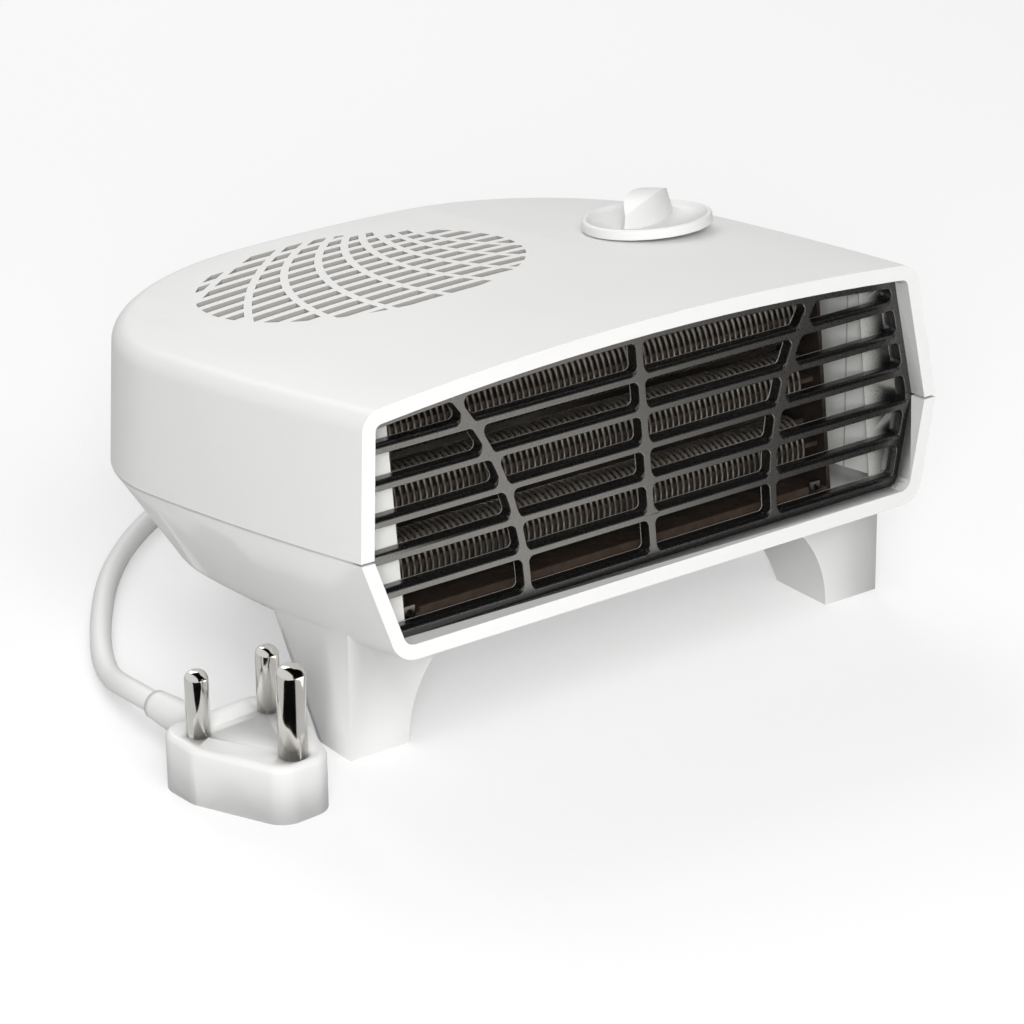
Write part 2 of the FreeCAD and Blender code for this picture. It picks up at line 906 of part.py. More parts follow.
def motor_winding():
    outer = bobbin_box(bobbin_wall + winding_build - 0.8, winding_length)
    return stand(outer.cut(bobbin_box(bobbin_wall, far)))


def bearing_bracket(z0):
    half = motor_screw_x + 4
    strip = box(intake_x - half, intake_x + half, intake_y - bracket_width / 2,
                intake_y + bracket_width / 2, z0, z0 + bracket_thickness)
    strip = strip.cut(motor_post(-far, far, bush_radius + screw_fit))
    for side in (-1, 1):
        spot = intake_x + side * motor_screw_x
        strip = strip.cut(post(spot, intake_y, -far, far, screw_radius + screw_fit))
    return stand(strip)


def motor_bushes():
    spans = ((stack_top, stack_top + bush_upper_length), (stack_low() - bush_lower_length, stack_low()))
    bore = shaft_radius + running_fit
    bushes = [motor_post(z0, z1, bush_radius).cut(motor_post(z0 - 1, z1 + 1, bore)) for z0, z1 in spans]
    return stand(Part.makeCompound(bushes))


def motor_screws():
    seat = stack_low() - bracket_thickness
    screws = []
    for side in (-1, 1):
        x = intake_x + side * motor_screw_x
        head = post(x, intake_y, seat - screw_head_height, seat, screw_head_radius)
        screws.append(head.fuse(post(x, intake_y, seat, base_z - 2, screw_radius)).removeSplitter())
    return stand(Part.makeCompound(screws))


def motor_rotor():
    z0 = stack_top - stack_height / 2 - rotor_height / 2
    return stand(motor_post(z0, z0 + rotor_height, rotor_radius).cut(motor_post(-far, far, shaft_radius)))


def motor_shaft():
    return stand(motor_post(shaft_low, shaft_high, shaft_radius))


def blower_wheel():
    # A plate with a hub, a ring of forward-curved blades and an inlet ring, all in one moulding
    plate = motor_post(wheel_low, wheel_low + wheel_plate, wheel_radius)
    hub = motor_post(wheel_low, wheel_low + hub_height, hub_radius)
    rim = motor_post(wheel_high - wheel_ring, wheel_high, wheel_radius).cut(motor_post(0, far, blade_inner))
    middle = (blade_inner + wheel_radius) / 2
    height = wheel_high - wheel_low - wheel_plate / 2 - wheel_ring / 2
    low = wheel_low + wheel_plate / 2
    centre = V(middle, blade_radius, 0)
    curl = Part.makeCylinder(blade_radius + blade_thickness / 2, height, centre, up)
    curl = curl.cut(Part.makeCylinder(blade_radius - blade_thickness / 2, height, centre, up))
    band = Part.makeCylinder(wheel_radius, height).cut(Part.makeCylinder(blade_inner, height))
    near = box(blade_inner - 1, wheel_radius + 1, -blade_radius / 2, blade_radius, 0, height)
    blade = curl.common(band).common(near)
    blades = []
    for i in range(blade_count):
        copy = blade.copy()
        copy.rotate(V(0, 0, 0), up, 360.0 * i / blade_count)
        copy.translate(V(intake_x, intake_y, low))
        blades.append(copy)
    wheel = join([plate, hub, rim] + blades)
    return stand(wheel.cut(motor_post(0, shaft_high, shaft_radius)))


# Knob and switch

def knob_base():
    return top_z(knob_x) + knob_lift


def control_knob():
    # A low dished skirt with a pointed grip across it, arched along its length and narrower at its top
    low = knob_base()
    top = low + skirt_height
    skirt = post(0, 0, low, top, knob_radius)
    upper_edge = [e for e in skirt.Edges if len(e.Vertexes) == 1 and abs(e.CenterOfMass.z - top) < 0.01]
    skirt = skirt.makeFillet(skirt_edge, upper_edge)
    skirt = skirt.cut(post(0, 0, top - dish_depth, far, knob_radius - dish_rim))
    flank_radius = (grip_half_length ** 2 + grip_half_width ** 2) / (2 * grip_half_width)
    offset = flank_radius - grip_half_width
    foot = low + skirt_height / 2
    flanks = [Part.makeCone(flank_radius, flank_radius - grip_draft, knob_height, V(0, y, foot))
              for y in (-offset, offset)]
    sagitta = knob_height - grip_end_height
    arch_radius = (grip_half_length ** 2 + sagitta ** 2) / (2 * sagitta)
    arch = Part.makeCylinder(arch_radius, far, V(0, -far / 2, low + knob_height - arch_radius), back)
    knob = join([skirt, flanks[0].common(flanks[1]).common(arch)])
    knob = knob.cut(post(0, 0, low - 1, low + spindle_depth, spindle_radius))
    knob.rotate(V(0, 0, 0), up, grip_angle)
    knob.translate(V(knob_x, knob_y, 0))
    return stand(knob)


def switch_spindle():
    return stand(post(knob_x, knob_y, switch_high - 8, knob_base() + spindle_depth, spindle_radius))


def selector_switch():
    half = switch_side / 2
    body = box(knob_x - half, knob_x + half, knob_y - half, knob_y + half, switch_low, switch_high)
    upright = [e for e in body.Edges if abs(e.BoundBox.ZLength - (switch_high - switch_low)) < 0.01]
    body = body.makeFillet(switch_corner, upright)
    tabs = []
    for i in range(4):
        x = knob_x - 12 + 8 * i
        tabs.append(box(x - 2.4, x + 2.4, knob_y - 0.4, knob_y + 0.4, switch_low - 8, switch_low))
    body = join([body] + tabs)
    return stand(body.cut(post(knob_x, knob_y, switch_high - 9, far, spindle_radius + running_fit)))


def switch_plate():
    half = switch_plate_length / 2
    width = switch_plate_width / 2
    plate = box(knob_x - half, knob_x + half, knob_y - width, knob_y + width, switch_high,
                switch_high + switch_plate_thickness)
    plate = plate.cut(post(knob_x, knob_y, 0, far, spindle_radius + running_fit))
    for side in (-1, 1):
        spot = knob_x + side * switch_post_x
        plate = plate.cut(post(spot, knob_y, 0, far, screw_radius + screw_fit))
    return stand(plate)


def switch_screws():
    screws = []
    for side in (-1, 1):
        x = knob_x + side * switch_post_x
        head = post(x, knob_y, switch_high - screw_head_height, switch_high, screw_head_radius)
        shank = post(x, knob_y, switch_high, switch_high + switch_plate_thickness + 4, screw_radius)
        screws.append(head.fuse(shank).removeSplitter())
    return stand(Part.makeCompound(screws))


# Lead

def gland_tip():
    return gland_pad_outer + gland_flange + gland_sleeve


def cord_gland():
    # A moulded bush: inner flange, neck through the wall, outer flange and a tapered sleeve
    def along(y0, y1, r0, r1):
        start = V(gland_x, y0, gland_z)
        if r0 == r1:
            return Part.makeCylinder(r0, y1 - y0, start, back)
        return Part.makeCone(r0, r1, y1 - y0, start, back)

    flange_out = gland_pad_outer + gland_flange
    pieces = [
        along(gland_pad_inner - gland_flange, gland_pad_inner, gland_flange_radius, gland_flange_radius),
        along(gland_pad_inner, gland_pad_outer, gland_neck, gland_neck),
        along(gland_pad_outer, flange_out, gland_flange_radius, gland_flange_radius),
        along(flange_out, gland_tip(), gland_flange_radius - 1, gland_tip_radius),
    ]
    bore = along(gland_pad_inner - far, gland_tip() + 1, cord_radius + cord_fit, cord_radius + cord_fit)
    return stand(join(pieces).cut(bore))


def inner_cord():
    start = V(gland_x, block_rear, gland_z)
    return stand(Part.makeCylinder(cord_radius, gland_tip() - block_rear, start, back))


def terminal_block():
    half = block_length / 2
    y0 = block_rear - block_depth
    block = box(gland_x - half, gland_x + half, y0, block_rear, lower_floor, gland_z + cord_radius + 2)
    for i in range(3):
        x = gland_x - 9 + 9 * i
        block = block.cut(post(x, block_rear - block_depth / 2, gland_z, far, 2.2))
    return stand(block)


def round_route(points, label):
    # Straight runs joined by arcs that take up 0.45 of the shorter run at each point
    edges = []
    radii = []
    last = points[0]
    for before, corner, after in zip(points, points[1:], points[2:]):
        way_in = corner - before
        way_out = after - corner
        short = min(way_in.Length, way_out.Length) * 0.45
        way_in.normalize()
        way_out.normalize()
        turn = math.acos(max(-1.0, min(1.0, way_in.dot(way_out))))
        radii.append(short / math.tan(turn / 2))
        start = corner - way_in * short
        stop = corner + way_out * short
        edges.append(line(last, start))
        edges.append(arc_from(start, way_in, stop))
        last = stop
    edges.append(line(last, points[-1]))
    print(label, "radii", [round(r, 1) for r in radii])
    return edges


def tube(edges, direction, label):
    wire = Part.Wire(edges)
    circle = Part.Wire(Part.makeCircle(cord_radius, edges[0].Vertexes[0].Point, direction))
    solid = wire.makePipeShell([circle], True, False)
    expected = math.pi * cord_radius ** 2 * wire.Length
    print(label, "length", round(wire.Length, 1), "volume ratio", round(solid.Volume / expected, 4))
    return solid


def plug_direction(u, v):
    # A direction on the floor from the plug's own axes: u to its right, v towards its lead
    a = math.radians(plug_turn)
    return V(u * math.cos(a) - v * math.sin(a), u * math.sin(a) + v * math.cos(a), 0)


def plug_place(u, v, z):
    return V(plug_x, plug_y, z) + plug_direction(u, v)


def coil_layers():
    # Nodes a quarter turn apart: in on the floor, up a layer in the half turn where it reverses, then out
    total = coil_in_turns + coil_climb_turns + coil_out_turns
    count = round(total * 4)
    low = tie_thickness + tie_gap + cord_radius
    nodes = []
    for i in range(count + 1):
        turn = i / 4
        a = math.radians(coil_start_angle + 360 * turn)
        rate = coil_step / (2 * math.pi)
        if turn <= coil_in_turns:
            r = coil_outer - coil_step * turn
            z = low
            dr = -rate
        elif turn < coil_in_turns + coil_climb_turns:
            r = coil_outer - coil_step * (coil_in_turns + coil_climb_turns / 4)
            z = low + coil_step / 2
            dr = 0
        else:
            r = coil_outer - coil_step * (2 * coil_in_turns + coil_climb_turns - turn)
            z = low + coil_step
            dr = rate
        climb = coil_step / (2 * math.pi * coil_climb_turns) * 1.5 if dr == 0 else 0
        place = V(coil_x + r * math.cos(a), coil_y + r * math.sin(a), z)
        tangent = V(dr * math.cos(a) - r * math.sin(a), dr * math.sin(a) + r * math.cos(a), climb)
        tangent.normalize()
        nodes.append((place, tangent))
    return nodes


def coil_edges():
    nodes = coil_layers()
    first, t_first = nodes[0]
    last, t_last = nodes[-1]
    edges = [line(first - t_first * cord_diameter, first)]
    edges += biarc_path(nodes)
    edges.append(line(last, last + t_last * cord_diameter))
    return edges


def least_self_gap(edges):
    # The least distance between points of the path that are more than half a turn apart, less the diameter
    points = [p for e in edges for p in e.discretize(Distance=2.0)]
    skip = round(math.pi * (coil_outer - coil_step * coil_in_turns) / 2.0)
    least = far
    for i, p in enumerate(points):
        for q in points[i + skip:]:
            least = min(least, (p - q).Length)
    return least - cord_diameter


def coil_ends():
    nodes = coil_layers()
    first, t_first = nodes[0]
    last, t_last = nodes[-1]
    return first - t_first * cord_diameter, t_first, last + t_last * cord_diameter, t_last


def cord_coil():
    edges = coil_edges()
    print("cord_coil least gap", round(least_self_gap(edges), 2))
    return tube(edges, coil_ends()[1], "cord_coil")


def coil_tie():
    # A band round the two layers of turns on one side of the coil
    inner = coil_outer - coil_step * (coil_in_turns + coil_climb_turns) - cord_radius - tie_gap
    outer = coil_outer + coil_step * coil_climb_turns + cord_radius + tie_gap
    low = tie_thickness
    high = low + 2 * tie_gap + cord_diameter + coil_step
    half = tie_width / 2
    t = tie_thickness
    band = box(inner - t, outer + t, -half, half, 0, high + t)
    band = band.cut(box(inner, outer, -far, far, low, high))
    band.rotate(V(0, 0, 0), up, tie_angle)
    band.translate(V(coil_x, coil_y, 0))
    return band


def cord_run():
    direction = plug_direction(0, 1)
    start = plug_place(0, plug_rear + sleeve_length, sleeve_height)
    coil_start, t_start, _, _ = coil_ends()
    points = [start, start + direction * run_first]
    points += [V(*p) for p in run_points]
    points += [coil_start - t_start * run_last, coil_start]
    return tube(round_route(points, "cord_run"), direction, "cord_run")


def cord_tail():
    _, _, coil_stop, t_stop = coil_ends()
    gland_end = stand_point(gland_x, gland_tip(), gland_z)
    gland_way = stand_direction(back)
    points = [coil_stop, coil_stop + t_stop * tail_first, gland_end + gland_way * tail_last, gland_end]
    return tube(round_route(points, "cord_tail"), t_stop, "cord_tail")


# Plug

def plug_body():
    outline = (
        (-plug_half_width, plug_rear), (-plug_half_width, plug_waist), (-plug_front_half_width, plug_front),
        (plug_front_half_width, plug_front), (plug_half_width, plug_waist), (plug_half_width, plug_rear))
    points = [plug_place(u, v, 0) for u, v in outline]
    body = Part.Face(Part.makePolygon(points + points[:1])).extrude(V(0, 0, plug_height))
    upright = [e for e in body.Edges if abs(e.BoundBox.ZLength - plug_height) < 0.01]
    body = body.makeFillet(plug_corner, upright)
    top = [e for e in body.Edges if e.BoundBox.ZMin > plug_height - 0.01]
    body = body.makeFillet(plug_edge, top)
    for u, v, radius in pin_places():
        spot = plug_place(u, v, plug_height - pin_depth)
        body = body.cut(Part.makeCylinder(radius, far, spot, up))
    return body


def pin_places():
    return (
        (-line_pin_half_pitch, 0, line_pin_radius),
        (line_pin_half_pitch, 0, line_pin_radius),
        (0, -earth_pin_offset, earth_pin_radius),
    )


def pin(u, v, radius, length):
    # A round pin with a domed end
    spot = plug_place(u, v, plug_height - pin_depth)
    rod = Part.makeCylinder(radius, pin_depth + length, spot, up)
    end = [e for e in rod.Edges if e.BoundBox.ZMin > plug_height + length - 0.01]
    return rod.makeFillet(radius * 0.8, end)


def plug_line_pins():
    return Part.makeCompound([pin(u, v, r, line_pin_length) for u, v, r in pin_places()[:2]])


def plug_earth_pin():
    return pin(*pin_places()[2], earth_pin_length)


def plug_sleeve():
    start = plug_place(0, plug_rear, sleeve_height)
    return Part.makeCone(sleeve_radius, sleeve_tip_radius, sleeve_length, start, plug_direction(0, 1))


def build():
    pieces = {
        "upper_shell": upper_shell(),
        "lower_shell": lower_shell(),
        "case_screws": case_screws(),
        "front_grille": front_grille(),
        "blower_scroll": blower_scroll(),
        "mica_end_board_left": mica_end_board(-1),
        "mica_end_board_right": mica_end_board(1),
        "mica_top_board": mica_top_board(),
        "mica_bottom_board": mica_bottom_board(),
        "element_terminals": element_terminals(),
        "thermal_cutout": thermal_cutout(),
        "stator_stack": stator_stack(),
        "motor_bobbin": motor_bobbin(),
        "motor_winding": motor_winding(),
        "bearing_bracket_upper": bearing_bracket(stack_top),
        "bearing_bracket_lower": bearing_bracket(stack_low() - bracket_thickness),
        "motor_bushes": motor_bushes(),
        "motor_screws": motor_screws(),
        "motor_rotor": motor_rotor(),
        "motor_shaft": motor_shaft(),
        "blower_wheel": blower_wheel(),
        "control_knob": control_knob(),
        "switch_spindle": switch_spindle(),
        "selector_switch": selector_switch(),
        "switch_plate": switch_plate(),
        "switch_screws": switch_screws(),
        "cord_gland": cord_gland(),
        "inner_cord": inner_cord(),
        "terminal_block": terminal_block(),
        "cord_tail": cord_tail(),
        "cord_coil": cord_coil(),
        "coil_tie": coil_tie(),
        "cord_run": cord_run(),
        "plug_body": plug_body(),
        "plug_line_pins": plug_line_pins(),
        "plug_earth_pin": plug_earth_pin(),
        "plug_sleeve": plug_sleeve(),
    }
    for row in range(coil_rows):
        pieces["mica_core_%d" % (row + 1)] = mica_core(row)
        pieces["heating_coil_%d" % (row + 1)] = heating_coil(row)
    return pieces


os.makedirs("parts", exist_ok=True)
for name, shape in build().items():
    shape.exportStep("parts/%s.step" % name)
    print(name, "solids", len(shape.Solids), "valid", shape.isValid(), "volume", round(shape.Volume, 1))
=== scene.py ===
import math
import bmesh
import bpy
import numpy as np
from mathutils import Matrix, Vector


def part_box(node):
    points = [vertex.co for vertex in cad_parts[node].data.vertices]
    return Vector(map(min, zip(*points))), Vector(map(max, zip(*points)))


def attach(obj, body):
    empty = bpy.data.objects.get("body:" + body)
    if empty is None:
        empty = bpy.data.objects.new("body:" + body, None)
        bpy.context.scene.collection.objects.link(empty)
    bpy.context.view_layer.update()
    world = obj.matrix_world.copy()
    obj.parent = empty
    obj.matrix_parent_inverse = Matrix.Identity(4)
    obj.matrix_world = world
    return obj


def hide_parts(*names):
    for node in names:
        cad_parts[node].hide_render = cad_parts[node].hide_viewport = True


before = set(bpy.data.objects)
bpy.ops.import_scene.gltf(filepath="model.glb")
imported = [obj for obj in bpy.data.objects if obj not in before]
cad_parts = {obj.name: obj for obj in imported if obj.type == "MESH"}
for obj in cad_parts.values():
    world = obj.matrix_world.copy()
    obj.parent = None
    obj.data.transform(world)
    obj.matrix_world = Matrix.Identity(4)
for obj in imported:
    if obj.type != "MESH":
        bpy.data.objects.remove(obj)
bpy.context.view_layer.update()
print("frame loaded:", len(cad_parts), "nodes")

scene = bpy.context.scene
scene.view_settings.view_transform = "Standard"

# directions on the floor, and those of the body, which leans back on its tall front legs
alongX, alongY = (1.0, 0.0, 0.0), (0.0, 1.0, 0.0)
bodyLean = {"level": 0.9931706, "tilt": 0.1166707, "originY": -0.09344845, "originZ": 0.0716}
bodyUp = (0.0, bodyLean["tilt"], bodyLean["level"])
bodyInward = (0.0, bodyLean["level"], -bodyLean["tilt"])


def fromBody(points):
    # body to floor: a turn about X by the lean, then a shift
    x, y, z = np.moveaxis(points, -1, 0)
    return np.stack((x, bodyLean["level"] * y + bodyLean["tilt"] * z + bodyLean["originY"],
                     bodyLean["level"] * z - bodyLean["tilt"] * y + bodyLean["originZ"]), axis=-1)


def toBody(points):
    x, y, z = np.moveaxis(points, -1, 0)
    y, z = y - bodyLean["originY"], z - bodyLean["originZ"]
    return np.stack((x, bodyLean["level"] * y - bodyLean["tilt"] * z,
                     bodyLean["tilt"] * y + bodyLean["level"] * z), axis=-1)


# camera, rolled a little so that the grille's bars lean as they do in the picture
cameraSetup = {
    "place": (-0.6633, -0.9417, 0.5227),
    "heading": 35.62,
    "downward": 23.24,
    "roll": -0.74,
    "lens": 137.24,
    "sensor": 36.0,
    "clip": (0.05, 50.0),
}


def makeCamera(setup):
    heading, downward, roll = (math.radians(setup[k]) for k in ("heading", "downward", "roll"))
    ahead = Vector((math.sin(heading) * math.cos(downward),
                    math.cos(heading) * math.cos(downward),
                    -math.sin(downward)))
    level = Vector((math.cos(heading), -math.sin(heading), 0.0))
    upright = level.cross(ahead)
    right = level * math.cos(roll) + upright * math.sin(roll)
    up = upright * math.cos(roll) - level * math.sin(roll)
    data = bpy.data.cameras.new("productCamera")
    data.lens = setup["lens"]
    data.sensor_width = setup["sensor"]
    data.clip_start, data.clip_end = setup["clip"]
    camera = bpy.data.objects.new("productCamera", data)
    turn = Matrix((right, up, -ahead)).transposed()
    camera.matrix_world = Matrix.Translation(setup["place"]) @ turn.to_4x4()
    scene.collection.objects.link(camera)
    scene.camera = camera


makeCamera(cameraSetup)
print("camera placed")


# lead: from the gland, down to the coil behind the heater, round its turns, and along the left side to the plug
leadRoute = {
    "diameter": 0.007,
    "length": 1.48,
    "fromGland": ((-0.0060, 0.11858, 0.02857), (-0.0060, 0.14043, 0.0260), (-0.00108, 0.16567, 0.0132)),
    "toPlug": ((0.03529, 0.1402, 0.0055), (0.01584, 0.14486, 0.0055), (-0.020, 0.135, 0.0035),
               (-0.047, 0.119, 0.0035), (-0.0734, 0.1001, 0.0035), (-0.0948, 0.0781, 0.0035),
               (-0.1122, 0.0531, 0.0035), (-0.1257, 0.0301, 0.0035), (-0.1331, 0.0123, 0.0035),
               (-0.13796, -0.00864, 0.009), (-0.13696, -0.0226, 0.009)),
    "coilMiddle": (0.054, 0.183),
    "coilRadius": 0.046,
    "coilStep": 0.0077,
    "coilLow": 0.0055,
    "coilTurns": 4.75,
    "climbFrom": 2.0,
    "climbTo": 2.5,
    "startAngle": -105.0,
    "pointsPerTurn": 24,
    "curveOrder": 3,
    "stepsBetween": 6,
    "roundSteps": 4,
}


def coilPoints(route):
    # a spiral in to the middle on the upper layer and out again on the lower one, its height eased between the two
    turn = np.linspace(route["coilTurns"], 0.0, int(route["coilTurns"] * route["pointsPerTurn"]) + 1)
    climb = np.clip((turn - route["climbFrom"]) / (route["climbTo"] - route["climbFrom"]), 0.0, 1.0)
    wound = np.minimum(turn, route["climbFrom"] + route["climbTo"] - turn)
    swing = np.radians(route["startAngle"]) + 2.0 * np.pi * turn
    reach = route["coilRadius"] - route["coilStep"] * wound
    reach = reach / math.cos(math.pi / route["pointsPerTurn"])
    height = route["coilLow"] + route["coilStep"] * climb * climb * (3.0 - 2.0 * climb)
    x = route["coilMiddle"][0] + reach * np.cos(swing)
    y = route["coilMiddle"][1] + reach * np.sin(swing)
    return np.column_stack((x, y, height))


def makeLead(route):
    points = np.vstack((route["fromGland"], coilPoints(route), route["toPlug"]))
    data = bpy.data.curves.new("mainsLead", "CURVE")
    data.dimensions = "3D"
    spline = data.splines.new("NURBS")
    spline.points.add(len(points) - 1)
    spline.points.foreach_set("co", np.column_stack((points, np.ones(len(points)))).ravel())
    spline.order_u = route["curveOrder"]
    spline.use_endpoint_u = True
    data.resolution_u = route["stepsBetween"]
    spline.points.foreach_set("radius", np.full(len(points), route["diameter"] / 2.0))
    data.bevel_depth = 1.0  # the points' own radius gives the thickness
    data.bevel_resolution = route["roundSteps"]
    data.use_fill_caps = True
    lead = bpy.data.objects.new("mainsLead", data)
    scene.collection.objects.link(lead)
    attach(lead, "housing")
    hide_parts("cord_tail", "cord_coil", "cord_run")
    return lead


mainsLead = makeLead(leadRoute)
print("lead laid:", len(mainsLead.data.splines[0].points), "points")


# finishes; most of a noise field lies between the two values of its range
noiseSetup = {"range": (0.3, 0.7), "driftDetail": 2.0, "lineDetail": 3.0, "grainDetail": 4.0}


def link(tree, source, target):
    tree.links.new(source, target)


def addNode(tree, kind, inputs=(), **settings):
    made = tree.nodes.new(kind)
    for key, value in settings.items():
        setattr(made, key, value)
    for key, value in dict(inputs).items():
        made.inputs[key].default_value = value
    return made


def emptyMaterial(name):
    material = bpy.data.materials.new(name)
    material.use_nodes = True
    tree = material.node_tree
    tree.nodes.clear()
    return material, tree, addNode(tree, "ShaderNodeOutputMaterial").inputs["Surface"]


def startFinish(name):
    material, tree, surface = emptyMaterial(name)
    shader = addNode(tree, "ShaderNodeBsdfPrincipled")
    link(tree, shader.outputs["BSDF"], surface)
    place = addNode(tree, "ShaderNodeTexCoord")
    return material, tree, shader, place.outputs["Object"]


def noiseField(tree, place, scale, detail, stretch=(1.0, 1.0, 1.0)):
    mapping = addNode(tree, "ShaderNodeMapping", {"Scale": stretch})
    link(tree, place, mapping.inputs["Vector"])
    noise = addNode(tree, "ShaderNodeTexNoise", {"Scale": scale, "Detail": detail})
    link(tree, mapping.outputs["Vector"], noise.inputs["Vector"])
    return noise.outputs["Fac"]


def spreadRoughness(tree, shader, field, look):
    low, high = noiseSetup["range"]
    spread = addNode(tree, "ShaderNodeMapRange", {"From Min": low, "From Max": high,
                                                  "To Min": look["rough"] - look["roughSpread"],
                                                  "To Max": look["rough"] + look["roughSpread"]})
    link(tree, field, spread.inputs["Value"])
    link(tree, spread.outputs["Result"], shader.inputs["Roughness"])


def blendColours(tree, field, first, second):
    ramp = addNode(tree, "ShaderNodeValToRGB")
    for stop, position, colour in zip(ramp.color_ramp.elements, noiseSetup["range"], (first, second)):
        stop.position = position
        stop.color = (*colour, 1.0)
    link(tree, field, ramp.inputs["Fac"])
    return ramp.outputs["Color"]


def addBump(tree, shader, field, strength, depth):
    bump = addNode(tree, "ShaderNodeBump", {"Strength": strength, "Distance": depth})
    link(tree, field, bump.inputs["Height"])
    link(tree, bump.outputs["Normal"], shader.inputs["Normal"])


def fadeAlong(tree, place, along, start, end):
    # 0 before start and 1 after end along a direction, eased between them
    reach = addNode(tree, "ShaderNodeVectorMath", {1: along}, operation="DOT_PRODUCT")
    eased = addNode(tree, "ShaderNodeMapRange", {"From Min": start, "From Max": end},
                    interpolation_type="SMOOTHSTEP")
    link(tree, place, reach.inputs[0])
    link(tree, reach.outputs["Value"], eased.inputs["Value"])
    return eased.outputs["Result"]


def combine(tree, operation, first, second):
    both = addNode(tree, "ShaderNodeMath", operation=operation)
    link(tree, first, both.inputs[0])
    link(tree, second, both.inputs[1])
    return both.outputs[0]


def paintOver(tree, field, below, colour):
    mix = addNode(tree, "ShaderNodeMix", data_type="RGBA")
    link(tree, field, mix.inputs["Factor"])
    link(tree, below, mix.inputs["A"])
    mix.inputs["B"].default_value = (*colour, 1.0)
    return mix.outputs["Result"]


def mouldedPlastic(name, look, paint=None):
    # satin moulded plastic: a broad drift of tone, a fine spark-eroded grain in the height and the roughness
    material, tree, shader, place = startFinish(name)
    drift = noiseField(tree, place, look["driftScale"], noiseSetup["driftDetail"])
    grain = noiseField(tree, place, look["grainScale"], noiseSetup["grainDetail"])
    tone = blendColours(tree, drift, look["shade"], look["colour"])
    if paint:
        tone = paint(tree, place, look, tone)
    link(tree, tone, shader.inputs["Base Color"])
    spreadRoughness(tree, shader, grain, look)
    shader.inputs["IOR"].default_value = look["ior"]
    addBump(tree, shader, grain, look["grainStrength"], look["grainDepth"])
    return material


def ductShadeAndJoint(tree, place, look, tone):
    # painted shade: darkened to a brown behind the element and deep inside, standing in for the shade there; pale at
    # the mouth and beside the element, with one joint line there
    mouth = fadeAlong(tree, place, alongY, *look["mouth"])
    behind = fadeAlong(tree, place, alongX, *look["beside"])
    deep = fadeAlong(tree, place, alongY, *look["deep"])
    shadedInside = combine(tree, "MULTIPLY", mouth, combine(tree, "MAXIMUM", behind, deep))
    tone = paintOver(tree, shadedInside, tone, look["deepShade"])
    nearEdge, farEdge = look["joint"] - look["jointHalf"], look["joint"] + look["jointHalf"]
    rise = fadeAlong(tree, place, alongY, nearEdge - look["jointSoft"], nearEdge)
    fall = fadeAlong(tree, place, alongY, farEdge + look["jointSoft"], farEdge)
    right = fadeAlong(tree, place, alongX, *reversed(look["beside"]))
    line = combine(tree, "MULTIPLY", right, combine(tree, "MULTIPLY", rise, fall))
    return paintOver(tree, line, tone, look["jointColour"])


def plateLightPaint(tree, place, look, tone):
    # painted light and shade: the plate behind the right cells is painted pale beside the duct, standing in for the
    # lit duct wall, and fades to black towards its end, where that wall falls into shade
    behind = fadeAlong(tree, place, bodyInward, *look["plateDepth"])
    pale = fadeAlong(tree, place, alongX, *look["plateShadeFade"])
    return paintOver(tree, combine(tree, "MULTIPLY", behind, pale), tone, look["plateLitColour"])


def slotShadePaint(tree, place, look, tone):
    # painted shade: the intake's slot walls are painted darker than the casing, standing in for the shade inside the
    # slots
    wall = addNode(tree, "ShaderNodeAttribute", attribute_name="slotWall")
    return paintOver(tree, wall.outputs["Fac"], tone, look["slotShadeColour"])


def platedMetal(name, look):
    # drawn or plated metal: fine lines along one axis in the height and the roughness
    material, tree, shader, place = startFinish(name)
    lines = noiseField(tree, place, look["lineScale"], noiseSetup["lineDetail"], look["stretch"])
    drift = noiseField(tree, place, look["driftScale"], noiseSetup["driftDetail"])
    tone = blendColours(tree, drift, look["shade"], look["colour"])
    # painted highlight: a pale crown colour painted on the tops of the wire's loops
    if "crown" in look:
        upper = addNode(tree, "ShaderNodeAttribute", attribute_name="upper")
        tone = paintOver(tree, upper.outputs["Fac"], tone, look["crown"])
    link(tree, tone, shader.inputs["Base Color"])
    spreadRoughness(tree, shader, lines, look)
    shader.inputs["Metallic"].default_value = 1.0
    addBump(tree, shader, lines, look["lineStrength"], look["lineDepth"])
    return material


def micaBoard(name, look):
    # pressed mica: flakes of slightly different browns, each with its own gloss and height
    material, tree, shader, place = startFinish(name)
    flakes = addNode(tree, "ShaderNodeTexVoronoi", {"Scale": look["flakeScale"], "Randomness": 1.0})
    link(tree, place, flakes.inputs["Vector"])
    tone = addNode(tree, "ShaderNodeSeparateColor")
    link(tree, flakes.outputs["Color"], tone.inputs["Color"])
    link(tree, blendColours(tree, tone.outputs["Red"], look["shade"], look["colour"]), shader.inputs["Base Color"])
    spreadRoughness(tree, shader, tone.outputs["Green"], look)
    addBump(tree, shader, tone.outputs["Blue"], look["flakeStrength"], look["flakeDepth"])
    return material


casingLook = {"colour": (0.83, 0.83, 0.82), "shade": (0.80, 0.80, 0.79), "driftScale": 9.0, "rough": 0.42,
              "roughSpread": 0.05, "ior": 1.5, "grainScale": 2200.0, "grainStrength": 0.12, "grainDepth": 0.0001}
